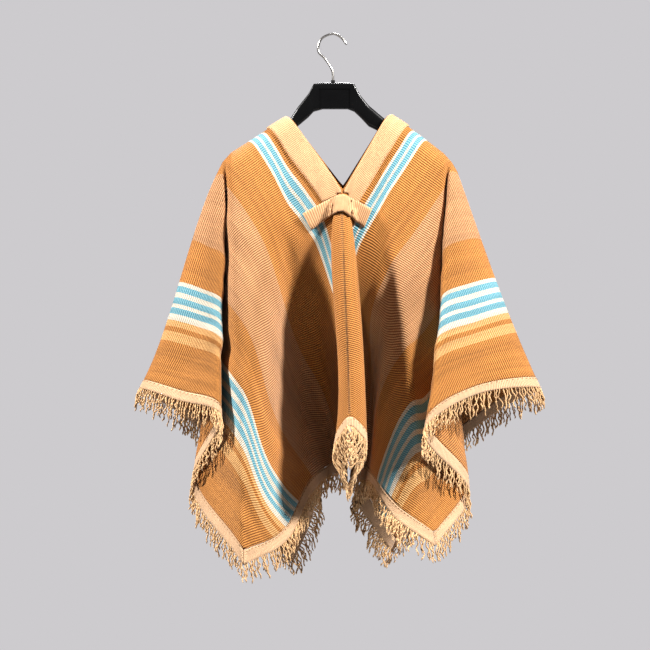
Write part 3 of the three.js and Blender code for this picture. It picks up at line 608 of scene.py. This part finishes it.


# %% [markdown]
# ## The striped cloth
#
# Thick yarn runs across the stripes in ribs. Each stripe starts at a distance from the middle seam. A
# stripe has one colour on the crest of a rib and another in the groove: that is what makes the blue look
# dashed. In the other stripes the darker groove colour is painted shade. Slow streaks along the stripes
# give the uneven dye of hand-spun wool.

# %% Stripes and weave
RIB, YARN = 3.5, 3.2
WOOL = {
    # colour: on the crest, in the groove (painted shade; the blue's paler groove is its own yarn)
    "mustard": (linear(190, 130, 64), linear(88, 42, 10)),
    "golden": (linear(208, 164, 108), linear(126, 80, 36)),
    "beige": (linear(188, 142, 100), linear(98, 58, 30)),
    "white": (linear(194, 188, 176), linear(146, 136, 118)),
    "blue": (linear(18, 98, 120), linear(112, 148, 154)),
}
STRIPES = [
    (0, "mustard"),
    (48, "white"), (53, "blue"), (60.5, "white"), (65.5, "blue"), (73, "white"),
    (78, "mustard"), (156, "beige"), (275, "mustard"),
    (346, "white"), (353, "blue"), (364, "white"), (371, "blue"),
    (382, "white"), (389, "blue"), (400, "white"),
    (409, "golden"), (421, "mustard"), (428, "golden"), (447, "mustard"),
]
WOOL_FINISH = {"Roughness": 0.92, "Sheen Weight": 0.1, "Sheen Roughness": 0.5, "Specular IOR Level": 0.15}


def stripe_ramp(across, layer):
    ramp = across.node("ShaderNodeValToRGB", {0: across / PANEL_WIDTH})
    stops = ramp.socket.node.color_ramp
    stops.interpolation = "CONSTANT"
    for start, name in STRIPES[1:]:
        stops.elements.new(start / PANEL_WIDTH).color = WOOL[name][layer]
    stops.elements[0].color = WOOL[STRIPES[0][1]][layer]
    stops.elements[-1].color = WOOL[STRIPES[-1][1]][layer]
    return ramp


def striped_cloth():
    made, shader, wire = new_material("striped wool", WOOL_FINISH)
    across, along = cut_place(wire)
    waver = noise(wire, across / 40, along / 40, 3.0) - 0.5
    fuzz = noise(wire, across / 1.4, along / 1.8, 2.0) - 0.5
    rib_place = along + waver * 3.0
    rib = rib_place.wave(RIB)
    parity = (rib_place / RIB - 0.25).maths("FLOOR") * (YARN / 2)
    yarn = (across + parity + waver * 1.5).wave(YARN)
    height = rib * (yarn * 0.3 + 0.7) + fuzz * 0.25
    edge = across + fuzz * 1.6 + waver * 1.2
    # Painted shade: the groove between the ribs takes the darker groove colour. Only the blue's pale groove
    # is the yarn's own colour.
    crest_against_groove_shade = (rib * (yarn * 0.5 + 0.6)).maths("MINIMUM", 1.0)
    weave_and_groove_shade = mixed(crest_against_groove_shade, stripe_ramp(edge, 1), stripe_ramp(edge, 0))
    narrow_streaks = noise(wire, across / 7, along / 260, 3.0) * 0.7
    wide_streaks = noise(wire, across / 60, along / 400, 1.0) * 0.5
    streaks = narrow_streaks + wide_streaks + 0.42
    patches = noise(wire, across / 90, along / 70, 2.0) * 0.3 + 0.85
    shade = streaks * patches * (fuzz * 0.35 + 1.0)
    join_wires(shader, Base_Color=shaded(weave_and_groove_shade, shade), Normal=bump(height, 1.0, 0.9))
    return made


CLOTH_LOOK = striped_cloth()
print("stripes:", len(STRIPES), "rib pitch:", RIB, "mm")


# %% [markdown]
# ## The plain tan wool
#
# The binding, the tab and the edging tape are the same tan wool, ribbed across the strip. The fringe is
# the same yarn, twisted. Their colour is darker in the grooves between the ribs and of the twist: that is
# painted shade.

# %% Ribbed and twisted wool
def ribbed_wool(name, light, dark_and_groove_shade, pitch, ribs_along):
    made, shader, wire = new_material(name, WOOL_FINISH)
    across, along = cut_place(wire)
    first, second = (along, across) if ribs_along else (across, along)
    waver = noise(wire, across / 25, along / 25, 2.0) - 0.5
    fuzz = noise(wire, across / 1.0, along / 1.0, 3.0) - 0.5
    rib = (first + waver * 2.5).wave(pitch).maths("POWER", 0.7)
    yarn = (second + waver).wave(2.2)
    height = rib * (yarn * 0.25 + 0.75) + fuzz * 0.35
    patches = noise(wire, across / 12, along / 30, 3.0) * 0.5 + 0.75
    # Painted shade: the grooves between the ribs take the dark colour.
    colour = mixed(rib * 0.8 + 0.2, linear(*dark_and_groove_shade), linear(*light))
    shade = patches * (fuzz * 0.4 + 1.0)
    join_wires(shader, Base_Color=shaded(colour, shade), Normal=bump(height, 0.8, 0.8))
    return made


def twisted_wool(name, light, dark_and_groove_shade, pitch):
    made, shader, wire = new_material(name, WOOL_FINISH)
    around, along = cut_place(wire)
    fuzz = noise(wire, around / 1.5, along / 0.8, 2.0) - 0.5
    twist = (along + around * (pitch / AROUND)).wave(pitch)
    tint = noise(wire, around / 900, along / 9, 1.0)
    # Painted shade: the grooves of the twist take the dark colour, mixed with random tone from tint and fuzz.
    tone_and_twist_shade = (twist * 0.6 + tint * 0.6 + fuzz * 0.3).maths("MINIMUM", 1.0)
    colour = mixed(tone_and_twist_shade, linear(*dark_and_groove_shade), linear(*light))
    join_wires(shader, Base_Color=colour, Normal=bump(twist + fuzz * 0.5, 0.5, 0.8))
    return made


# The second colour of each goes into the grooves as painted shade.
BINDING_LOOK = ribbed_wool("tan binding", (192, 150, 110), (126, 82, 50), 2.8, True)
TAPE_LOOK = ribbed_wool("tan tape", (194, 160, 126), (132, 96, 68), 2.8, True)
FRINGE_LOOK = twisted_wool("twisted fringe", (212, 176, 130), (150, 106, 66), 5.0)
THREAD_LOOK = twisted_wool("sewing thread", (150, 108, 68), (100, 66, 36), 2.0)

# %% [markdown]
# ## The two panels
#
# Each panel is one sheet: from the back seam, over the shoulder, to the front seam. The mesh stops where
# the edging tape begins. A slight unevenness keeps the cloth from looking pressed.

# %% The panels
CLOTH = 2.6
SEAM_GAP = 0.3
TAPE_WIDTH = 18
TAPE_GAP = 0.5
COLUMNS_PER_FOLD = 12
NEAR_TOP = 0.08  # the rows of the mesh lie closer together down to here, where the cloth turns over the arm
ROWS = np.concatenate([np.linspace(0, NEAR_TOP, 15), np.linspace(NEAR_TOP, 1, 96)[1:]])
LUMPS = [(118, 1.1), (74, 0.8), (46, 0.5), (29, 0.25)]  # how far apart they are and how high
LUMP_TILT, LUMP_SLOPE = 0.35, 0.22  # how much the waves slant
# The lumps begin so many mm from a line of the cloth and reach their height over so many more.
LUMPS_BEGIN = {"seam": (42, 40), "shoulder": (30, 60), "tape": (20, 30)}


def share_of_lumps(distance, line):
    start, width = LUMPS_BEGIN[line]
    return np.clip((distance - start) / width, 0, 1)


def unevenness(cut):
    """Soft lumps of the hand-woven cloth, in mm: slow waves, each with its own direction and start."""
    across, along = cut[:, 0], cut[:, 1]
    lumps = np.zeros(len(cut))
    for k, (reach, amount) in enumerate(LUMPS):
        tilt = LUMP_TILT * math.sin(7.1 * k + 1)
        lumps += amount * np.sin((across + tilt * along) * 2 * math.pi / reach + 2.3 * k)
        lumps += amount * np.sin((LUMP_SLOPE * along - tilt * across) * 2 * math.pi / reach + 4.1 * k)
    across, along = np.abs(across), np.abs(along)
    keep = share_of_lumps(across, "seam") * share_of_lumps(PANEL_WIDTH - across, "tape")
    return lumps * keep * share_of_lumps(along, "shoulder") * share_of_lumps(HALF_LENGTH - along, "tape")


def clear_of_seam(at, q, side):
    """Moves the points that lie on the middle seam to their own side of it."""
    nearest = np.round(q).astype(int)
    on_seam = SEAM[nearest % COUNT] & (np.abs(q - nearest) < 1e-6)
    at[:, 0] += np.where(on_seam, side * SEAM_GAP / 2, 0)


def panel_points(columns, rows, side):
    q, v = flat_pairs(columns[:, None], rows)
    at, cut, _ = surface(q, v)
    at = at + outward(q, v) * unevenness(cut)[:, None]
    clear_of_seam(at, q, side)
    return at, np.abs(cut[:, :1]) * [1, 0] + cut[:, 1:] * [0, 1]


panels = {}
for word, side, first in (("left", -1, BACK_MIDDLE), ("right", 1, FRONT_MIDDLE)):
    columns = first + np.linspace(0, COUNT / 2, COLUMNS_PER_FOLD * COUNT // 2 + 1)
    inner = inset_place(columns, TAPE_WIDTH + TAPE_GAP)
    at, cut = panel_points(columns, ROWS[None, :] * inner[:, None], side)
    mesh = joined_mesh("panel_" + word, at, grid_faces(len(columns), len(ROWS)), cut, merge=0.01)
    panels[word] = new_piece("cloth_" + word, mesh, CLOTH_LOOK, ["panel_" + word])
    thicken(panels[word], CLOTH)
    print(panels[word].name, len(mesh.polygons), "faces")

# %% [markdown]
# ## The edging tape and its fringe
#
# The tape follows the same surface, from the panel's mesh to the very edge, in six lengths that meet at
# mitred corners. The strands are twisted yarn. Each leaves the edge in the cloth's own direction, then
# hangs and curls.

# %% Tape and fringe
TAPE_THICKNESS = 3.0
TAPE_ROWS = 6
MITRE_GAP = 0.0015  # between two lengths of tape at a corner, in folds round the ring
STRAND = {
    "pitch": 5.0, "root": 3.0, "radius": 1.4, "steps": 13, "sides": 6,
    "droop": 0.8, "droops_by": 2 / 3, "curls_by": 0.4, "flatten": 0.22, "twists": 3.0,
    "taper": (0.8, 1, 0.95, 0.45),
    # Each strand draws its own value between these two.
    "shift": (-1.2, 1.2), "shift_out": (-0.5, 0.5), "length": (30, 46), "turns": (1.2, 3.6),
    "curl": (0.25, 0.85), "lean": (-0.35, 0.35), "share": (0.75, 1.15),
}
FRINGE_MARGIN, STITCH_MARGIN = 0.004, 0.02  # from the ends of a length of tape, in folds round the ring
# Within so many folds of the front seam, at the foot of the ridge, the fringe is this much denser and longer,
# and its strands lean in towards the middle.
RIDGE_FOLDS, RIDGE_CROWD, RIDGE_REACH = 1.8, 3.2, 1.5
RIDGE_PULL, RIDGE_HALF = 0.9, 12
LENGTHS = [
    ("front_left", -1, CORNER_FRONT_LEFT, FRONT_MIDDLE), ("front_right", 1, FRONT_MIDDLE, CORNER_FRONT_RIGHT),
    ("side_left", -1, CORNER_BACK_LEFT, CORNER_FRONT_LEFT + COUNT),
    ("side_right", 1, CORNER_FRONT_RIGHT, CORNER_BACK_RIGHT),
    ("back_left", -1, BACK_MIDDLE, CORNER_BACK_LEFT), ("back_right", 1, CORNER_BACK_RIGHT, BACK_MIDDLE),
]
chance = np.random.default_rng(SEED)


def tape(word, side, first, last):
    columns = np.linspace(first, last, (last - first) * COLUMNS_PER_FOLD + 1)
    for k, inward in ((0, MITRE_GAP), (-1, -MITRE_GAP)):
        if CORNER[int(round(columns[k])) % COUNT]:
            columns[k] += inward
    insets = np.linspace(TAPE_WIDTH, 0, TAPE_ROWS)
    v = np.stack([inset_place(columns, inset) if inset else np.ones(len(columns)) for inset in insets], -1)
    q = np.broadcast_to(columns[:, None], v.shape).ravel()
    at, _, end = surface(q, v.ravel())
    clear_of_seam(at, q, side)
    cut = np.stack([np.broadcast_to(insets, v.shape).ravel(), end], -1)
    mesh = joined_mesh("tape_" + word, at, grid_faces(len(columns), len(insets)), cut)
    piece = new_piece("tape_" + word, mesh, TAPE_LOOK, ["fringe_" + word])
    thicken(piece, TAPE_THICKNESS)
    return piece


def edge_walk(first, last, margin):
    """Places round the ring from one fold to another, and how far along the cut edge each one lies."""
    fine = np.linspace(first + margin, last - margin, 2000)
    return fine, np.concatenate([[0], np.cumsum(np.abs(np.diff(surface(fine, 1)[2])))])


def strands(word, side, first, last):
    fine, far = edge_walk(first, last, FRINGE_MARGIN)
    close = np.abs(fine - FRONT_MIDDLE) < RIDGE_FOLDS
    crowd = np.concatenate([[0], np.cumsum(np.diff(far) * np.where(close[1:], RIDGE_CROWD, 1))])
    number = int(crowd[-1] / STRAND["pitch"])
    wanted = np.linspace(0, crowd[-1], number + 2)[1:-1]
    wanted = wanted + chance.uniform(*STRAND["shift"], number)
    q = np.interp(wanted, crowd, fine)
    root = surface(q, inset_place(q, STRAND["root"]))[0]
    out = unit(surface(q, 1)[0] - root)
    normal = outward(q, 1)
    sideways = np.cross(normal, out)
    steps = STRAND["steps"]
    reach = chance.uniform(*STRAND["length"], number)
    ridge = np.abs(q - FRONT_MIDDLE) < RIDGE_FOLDS
    reach *= np.where(ridge, RIDGE_REACH, 1)
    stride = reach / (steps - 1)
    phase = chance.uniform(0, 2 * math.pi, number)
    turns = chance.uniform(*STRAND["turns"], number)
    turns = turns * chance.choice([-1, 1], number)
    curl = chance.uniform(*STRAND["curl"], number)
    lean = chance.uniform(*STRAND["lean"], number)
    points = [root + normal * chance.uniform(*STRAND["shift_out"], (number, 1))]
    middle_x = surface(FRONT_MIDDLE, 1)[0][0, 0]
    for k in range(1, steps):
        u = k / (steps - 1)
        fall = min(1, u / STRAND["droops_by"]) * STRAND["droop"]
        turn = phase + turns * 2 * math.pi * u
        grow = min(1, u / STRAND["curls_by"])
        ahead = out * (1 - fall) + np.array([0, 0, -1.0]) * fall + sideways * lean[:, None] * fall
        circle = sideways * np.cos(turn)[:, None] + normal * np.sin(turn)[:, None]
        ahead = ahead + grow * curl[:, None] * circle
        inward = np.clip((middle_x - points[-1][:, 0]) / RIDGE_HALF, -1, 1)
        ahead[:, 0] += np.where(ridge, RIDGE_PULL * fall * inward, 0)
        points.append(points[-1] + unit(ahead) * stride[:, None])
    paths = np.stack(points, 1)
    swell = np.interp(np.arange(steps), [0, 1, steps - 2, steps - 1], STRAND["taper"])
    share = chance.uniform(*STRAND["share"], (number, 1))
    radii = STRAND["radius"] * share * swell[None, :]
    mesh = tubes("fringe_strands_" + word, paths, radii, STRAND["sides"], STRAND["flatten"], STRAND["twists"])
    return new_piece("strands_" + word, mesh, FRINGE_LOOK), number


tapes, fringes, total = {}, {}, 0
for word, side, first, last in LENGTHS:
    tapes[word] = tape(word, side, first, last)
    fringes[word], number = strands(word, side, first, last)
    total += number
print("strands:", total)

# %% [markdown]
# ## The neck binding and the tab
#
# The binding lies on the panel along the slit, moved out by half its thickness. The tab bridges the foot
# of the slit, laid on the most forward cloth behind each of its points.

# %% Binding and tab
BINDING_WIDTH, BINDING_END, BINDING_SLANT = 38, 174, 4
BINDING_THICKNESS = 2.4
BINDING_CLEAR, BINDING_SWELL, BINDING_START = 0.6, 0.5, 0.8
BINDING_LIFT = CLOTH / 2 + BINDING_THICKNESS / 2 + BINDING_CLEAR
BINDING_GRID = (13, 140)
TAB_STATIONS = [
    # picture x and y of the upper edge, then of the lower edge, from the left end to the right end
    (302.5, 213.7, 311.3, 230), (317, 205.7, 322, 222), (331, 198.2, 332.5, 214.5),
    (337.5, 195.8, 338, 212.4), (343, 195, 343.3, 211.8), (349, 197.3, 347.8, 214.8),
    (361, 202.8, 355.5, 221), (372, 209.2, 364.2, 227.5),
]
TAB_DEPTH, TAB_REACH, TAB_THICKNESS = -62, 4, 3.0
TAB_CLEAR, TAB_SWELL, TAB_WIDTH, STATION_SPACING = 0.3, 1.2, 30, 17
TAB_COLUMNS, TAB_ROWS = 57, 9


def binding(word, side):
    across, share = (a.ravel() for a in np.meshgrid(
        np.linspace(BINDING_START, BINDING_WIDTH, BINDING_GRID[0]), np.linspace(1, -1, BINDING_GRID[1]),
        indexing="ij",
    ))
    along = share * (BINDING_END - BINDING_SLANT * across / BINDING_WIDTH)
    q, v = hang(side * across, along)
    rise = BINDING_LIFT + BINDING_SWELL * np.sin(np.pi * across / BINDING_WIDTH) ** 0.5
    at = surface(q, v)[0] + outward(q, v) * rise[:, None]
    order = at.reshape(*BINDING_GRID, 3)[::side].reshape(-1, 3)
    cut = np.stack([across, along], -1).reshape(*BINDING_GRID, 2)[::side].reshape(-1, 2)
    mesh = joined_mesh("binding_" + word, order, grid_faces(*BINDING_GRID), cut)
    piece = new_piece("binding_" + word, mesh, BINDING_LOOK, ["neck_binding_" + word])
    thicken(piece, BINDING_THICKNESS)
    return piece


def neck_tab():
    stations = np.array(TAB_STATIONS, float)
    spread = np.linspace(0, len(stations) - 1, TAB_COLUMNS)
    x0, y0, x1, y1 = (np.interp(spread, np.arange(len(stations)), stations[:, k]) for k in range(4))
    down = np.linspace(0, 1, TAB_ROWS)
    x, y = x0[:, None] + (x1 - x0)[:, None] * down, y0[:, None] + (y1 - y0)[:, None] * down
    seen = place(x.ravel(), y.ravel(), TAB_DEPTH)
    around = [(dx, dz) for dx in (-TAB_REACH, 0, TAB_REACH) for dz in (-TAB_REACH, 0, TAB_REACH)]
    depths = [surface(*behind_picture(seen[:, 0] + dx, seen[:, 2] + dz))[0][:, 1] for dx, dz in around]
    puff = TAB_SWELL * np.sin(np.pi * np.tile(down, TAB_COLUMNS)) ** 0.5
    seen[:, 1] = np.min(depths, 0) - CLOTH / 2 - TAB_THICKNESS / 2 - TAB_CLEAR - puff
    across, along = np.tile(down * TAB_WIDTH, TAB_COLUMNS), np.repeat(spread * STATION_SPACING, TAB_ROWS)
    cut = np.stack([across, along], -1)
    mesh = joined_mesh("tab", seen, grid_faces(TAB_COLUMNS, TAB_ROWS), cut)
    piece = new_piece("tab", mesh, BINDING_LOOK, ["neck_tab"])
    thicken(piece, TAB_THICKNESS)
    return piece


SIDES = {"left": -1, "right": 1}
bindings = {word: binding(word, side) for word, side in SIDES.items()}
tab = neck_tab()
print("binding lift:", BINDING_LIFT, "mm")

# %% [markdown]
# ## Stitching
#
# Running stitches hold the tape and the binding. The middle seam is whipped together over both edges.

# %% Stitches
THREAD, STITCH_BOW, STITCH_SINK = 0.55, 0.8, 0.5
STITCH_LENGTH, STITCH_PITCH, STITCH_INSET, STITCH_START = 4.2, 9.0, 2.5, 6
BINDING_PITCH, BINDING_REACH, BINDING_INSET = 8.0, 150, 2.0
SEAM_FIRST, SEAM_LAST, SEAM_STITCHES, SEAM_LENGTH, SEAM_SLANT = 0.12, 0.94, 95, 5.0, 0.5


def stitches(name, q, v, lift, towards, reach):
    """Short bowed stitches at (q, v), each reaching along the direction `towards`."""
    at = surface(q, v)[0] + outward(q, v) * lift
    normal = outward(q, v)
    bend = np.linspace(-1, 1, 5)
    paths = at[:, None, :] + towards[:, None, :] * (bend * reach / 2)[None, :, None]
    paths = paths + normal[:, None, :] * (STITCH_BOW * (1 - bend**2) - STITCH_SINK)[None, :, None]
    mesh = tubes(name, paths, np.full(paths.shape[:2], THREAD), 5)
    return new_piece(name, mesh, THREAD_LOOK)


def edge_stitches(word, side, first, last):
    fine, far = edge_walk(first, last, STITCH_MARGIN)
    q = np.interp(np.arange(STITCH_START, far[-1] - STITCH_START, STITCH_PITCH), far, fine)
    inset = TAPE_WIDTH - STITCH_INSET
    v = inset_place(q, inset)
    ahead = unit(surface(q + 0.01, inset_place(q + 0.01, inset))[0] - surface(q, v)[0])
    return stitches("stitches_" + word, q, v, TAPE_THICKNESS / 2, ahead, STITCH_LENGTH)


def binding_stitches(word, side):
    along = np.arange(-BINDING_REACH, BINDING_REACH + 1, BINDING_PITCH)
    across = np.full(len(along), BINDING_WIDTH - BINDING_INSET)
    q, v = hang(side * across, along)
    q1, v1 = hang(side * across, along + 1)
    ahead = unit(surface(q1, v1)[0] - surface(q, v)[0])
    lift = BINDING_LIFT + BINDING_THICKNESS / 2
    return stitches("stitches_binding_" + word, q, v, lift, ahead, STITCH_LENGTH)


def seam_stitches(word, middle):
    v = np.linspace(SEAM_FIRST, SEAM_LAST, SEAM_STITCHES)
    q = np.full(len(v), float(middle))
    down = unit(surface(q, v + 0.002)[0] - surface(q, v)[0])
    slant = unit(np.cross(outward(q, v), down) + SEAM_SLANT * down)
    return stitches("stitches_seam_" + word, q, v, CLOTH / 2, slant, SEAM_LENGTH)


sewn = {word: edge_stitches(word, side, first, last) for word, side, first, last in LENGTHS}
sewn_binding = {word: binding_stitches(word, side) for word, side in SIDES.items()}
MIDDLES = {"front": FRONT_MIDDLE, "back": BACK_MIDDLE}
seams = {word: seam_stitches(word, middle) for word, middle in MIDDLES.items()}
print("stitched pieces:", len(sewn) + len(sewn_binding) + len(seams))

# %% [markdown]
# ## The hanger
#
# The body is drawn through sections from one arm's end to the other: a nearly square centre plate that
# turns into oval arms. A shallow recess is cut into its front. The hook is bent steel wire with a small
# black nut.

# %% Hanger, hook and nut
HANGER_STATIONS = [
    # x, top, bottom, half depth, how oval the section is
    (-196, -238, -248, 4, 0.9), (-190, -231, -253, 10, 0.9), (-178, -217.5, -248, 14, 0.8),
    (-152, -195.5, -226, 15, 0.8), (-112, -168.5, -197, 12, 0.8), (-79, -153, -173, 8, 0.7),
    (-62, -127, -160, 9, 0.5), (-43.2, -103.6, -144, 10, 0.35), (-33.8, -86, -134, 9, 0.3),
    (-18, -84.2, -129.7, 9, 0.3), (26, -84.2, -129.7, 9, 0.3), (37.1, -86, -134, 9, 0.3),
    (47.8, -106.2, -144, 10, 0.35), (62.6, -123.7, -160, 10, 0.5), (93.5, -149.5, -175, 9, 0.7),
    (129, -166.5, -197, 13, 0.8), (166, -192.5, -221, 14, 0.8), (193, -214.5, -243, 12, 0.8),
    (205, -229, -252, 10, 0.9), (211, -237, -247, 4, 0.9),
]
HANGER_SIDES, HANGER_SECTIONS, SHARP = 36, 90, math.radians(32)
RECESS = {"x": 2.6, "width": 54, "top": -95, "bottom": -150, "depth": 1.5, "face": 9}
HOOK_BENDS = [
    # x and height of the wire at each bend
    (-1.5, -62), (-13, -43), (-24.5, -31), (-25.7, -20), (-19, -5.5), (-0.4, 2), (14.3, -4.5), (24, -17),
]
HOOK_RADIUS, HOOK_SEAT, HOOK_SUNK, HOOK_TIP, HOOK_SIDES = 2, -84.2, 10, (1.8, 1.0), 20
NUT_RADIUS, NUT_HEIGHT, NUT_BEVEL, NUT_LIFT = 4, 5, 0.5, 0.3


def black_plastic():
    made, shader, wire = new_material("black plastic", {"Roughness": 0.2, "Specular IOR Level": 0.3})
    wear = grain(wire, 22.0, 4.0)
    colour = mixed(wear, (0.0006, 0.0006, 0.0007, 1), (0.0018, 0.0018, 0.002, 1))
    pits = bump(grain(wire, 900.0, 2.0), 0.02, 0.15)
    join_wires(shader, Base_Color=colour, Roughness=wear * 0.12 + 0.16, Normal=pits)
    return made


def steel_wire():
    made, shader, wire = new_material("steel wire", {"Metallic": 1.0, "Roughness": 0.25})
    lines = grain(wire, 350.0, 3.0)
    colour = mixed(lines, linear(150, 146, 140), linear(205, 202, 198))
    join_wires(shader, Base_Color=colour, Roughness=lines * 0.2 + 0.15, Normal=bump(lines, 0.05, 0.3))
    return made


def hanger_body(look):
    stations = np.array(HANGER_STATIONS, float)
    even = np.linspace(stations[0, 0], stations[-1, 0], HANGER_SECTIONS)
    spread = np.unique(np.concatenate([stations[:, 0], even]))
    top, bottom, depth, oval = (
        np.interp(spread, stations[:, 0], stations[:, k])[:, None] for k in (1, 2, 3, 4)
    )
    angle = (np.arange(HANGER_SIDES) + 0.5) * 2 * math.pi / HANGER_SIDES
    c, s = np.cos(angle), np.sin(angle)
    y = depth * np.sign(c) * np.abs(c) ** oval
    z = (top + bottom) / 2 + (top - bottom) / 2 * np.sign(s) * np.abs(s) ** oval
    points = np.stack([np.broadcast_to(spread[:, None], y.shape), y, z], -1)
    number = np.arange(points.size // 3).reshape(y.shape)
    faces = ring_faces(number) + [number[0, ::-1].tolist(), number[-1].tolist()]
    mesh = joined_mesh("hanger", points.reshape(-1, 3), faces)
    piece = new_piece("hanger", mesh, look, ["hanger_body"])
    block = bmesh.new()
    bmesh.ops.create_cube(block, size=1)
    low, high = RECESS["bottom"], RECESS["top"]
    block_size = Vector((RECESS["width"], 2 * RECESS["depth"], high - low)) * METRES
    block_place = Vector((RECESS["x"], -RECESS["face"], (low + high) / 2)) * METRES
    bmesh.ops.scale(block, verts=block.verts, vec=block_size)
    bmesh.ops.translate(block, verts=block.verts, vec=block_place)
    cutter = add_object("recess", finished_mesh("recess", block))
    carve = piece.modifiers.new("recess", "BOOLEAN")
    carve.object = cutter
    carve.solver = "EXACT"
    carved = bpy.data.meshes.new_from_object(piece.evaluated_get(bpy.context.evaluated_depsgraph_get()))
    piece.modifiers.remove(carve)
    piece.data = carved
    bpy.data.objects.remove(cutter)
    carved.set_sharp_from_angle(angle=SHARP)
    return piece


def smooth_path(corners, steps):
    """A smooth path through the corners, in so many steps from each to the next."""
    p = np.array(corners, float)
    p = np.concatenate([[2 * p[0] - p[1]], p, [2 * p[-1] - p[-2]]])
    found = []
    for p0, p1, p2, p3 in zip(p, p[1:], p[2:], p[3:]):
        for f in np.arange(steps) / steps:
            bend = (2 * p0 - 5 * p1 + 4 * p2 - p3) * f**2
            twist = (3 * p1 - p0 - 3 * p2 + p3) * f**3
            found.append(0.5 * (2 * p1 + (p2 - p0) * f + bend + twist))
    return np.array(found + [p[-2]])


def hook(look):
    corners = [(0, 0, HOOK_SEAT - HOOK_SUNK), (0, 0, HOOK_SEAT + 1)] + [(x, 0, z) for x, z in HOOK_BENDS]
    path = smooth_path(corners, 8)[None]
    radii = np.full(path.shape[:2], float(HOOK_RADIUS))
    radii[0, -2:] = HOOK_TIP
    return new_piece("hook", tubes("hook", path, radii, HOOK_SIDES), look, ["hanger_hook"])


def nut(look):
    shape = bmesh.new()
    bmesh.ops.create_cone(
        shape, cap_ends=True, segments=6, radius1=NUT_RADIUS * METRES, radius2=NUT_RADIUS * METRES,
        depth=NUT_HEIGHT * METRES,
    )
    bmesh.ops.bevel(shape, geom=shape.edges[:], offset=NUT_BEVEL * METRES, segments=2, affect="EDGES")
    middle = HOOK_SEAT + NUT_LIFT + NUT_HEIGHT / 2
    bmesh.ops.translate(shape, verts=shape.verts, vec=(0, 0, middle * METRES))
    return new_piece("nut", finished_mesh("nut", shape), look, ["hook_nut"])


PLASTIC_LOOK, STEEL_LOOK = black_plastic(), steel_wire()
hanger = hanger_body(PLASTIC_LOOK)
wire_hook = hook(STEEL_LOOK)
small_nut = nut(PLASTIC_LOOK)
print("hanger faces:", len(hanger.data.polygons))

# %% [markdown]
# ## The pieces that go with each panel
#
# Both panels are cut 545 by 1150 mm. For each panel a list gathers its tape, fringe, tape stitches, binding
# and binding stitches; the left list also takes the tab and the seam stitches. The lists are not used
# further.

# %% Sheets
for word in SIDES:
    own = [name for name, *_ in LENGTHS if name.endswith(word)]
    extras = [made[name] for made in (tapes, fringes, sewn) for name in own]
    extras += [bindings[word], sewn_binding[word]]
    if word == "left":
        extras += [tab, *seams.values()]

# %% [markdown]
# ## Floor and light
#
# A pale floor lies well below the hem. Hard light from both sides lets the ridge and the sleeves throw
# shadows. The air behind the poncho looks pale grey, but it sheds hardly any light, so the shadows stay
# deep.

# %% Studio
FLOOR, FLOOR_RADIUS = -1650, 3000
AIR = {"shed": 0.03, "mirrored": 0.3, "seen": 1.0}
WARM, WHITE = (1, 0.985, 0.96), (1, 1, 1)
LAMPS = [
    # name, place, the point it is aimed at, size, power in watts, colour
    ("right key", (2300, -1500, 1450), (0, 0, -480), 420, 400, WARM),
    ("left key", (-2750, -950, 1400), (0, 0, -480), 420, 350, WARM),
    ("fill", (0, -1800, 2600), (0, 0, -500), 1200, 8, WHITE),
    ("back", (300, 2600, 1500), (0, 0, -480), 900, 110, WHITE),
]


def floor():
    shape = bmesh.new()
    bmesh.ops.create_circle(shape, cap_ends=True, segments=96, radius=FLOOR_RADIUS * METRES)
    bmesh.ops.translate(shape, verts=shape.verts, vec=(0, 0, FLOOR * METRES))
    mesh = finished_mesh("floor", shape)
    made, shader, wire = new_material("floor paper", {"Roughness": 0.9, "Specular IOR Level": 0.1})
    join_wires(shader, Base_Color=mixed(grain(wire, 1.2, 1.0), linear(128, 127, 130), linear(132, 131, 134)))
    mesh.materials.append(made)
    add_object("floor", mesh)


def air():
    """What lies beyond the floor. It is pale to the eye, but sheds almost no light of its own."""
    world = bpy.data.worlds.new("studio")
    world.use_nodes = True
    background = world.node_tree.nodes["Background"]
    background.inputs["Color"].default_value = linear(205, 203, 206)
    wire = Wire(world.node_tree, None)
    seen = wire.node("ShaderNodeLightPath", output="Is Camera Ray")
    mirrored = wire.node("ShaderNodeLightPath", output="Is Glossy Ray")
    strength = seen * (AIR["seen"] - AIR["shed"])
    strength = strength + mirrored * (AIR["mirrored"] - AIR["shed"]) + AIR["shed"]
    world.node_tree.links.new(strength.socket, background.inputs["Strength"])
    bpy.context.scene.world = world


def lamp(name, place_mm, aim_mm, size, power, colour):
    light = bpy.data.lights.new(name, "AREA")
    light.shape = "DISK"
    light.size = size * METRES
    light.energy = power
    light.color = colour
    piece = add_object(name, light)
    piece.location = Vector(place_mm) * METRES
    piece.rotation_euler = (Vector(aim_mm) - Vector(place_mm)).to_track_quat("-Z", "Y").to_euler()


floor()
air()
for row in LAMPS:
    lamp(*row)
bpy.context.scene.view_settings.view_transform = "Standard"
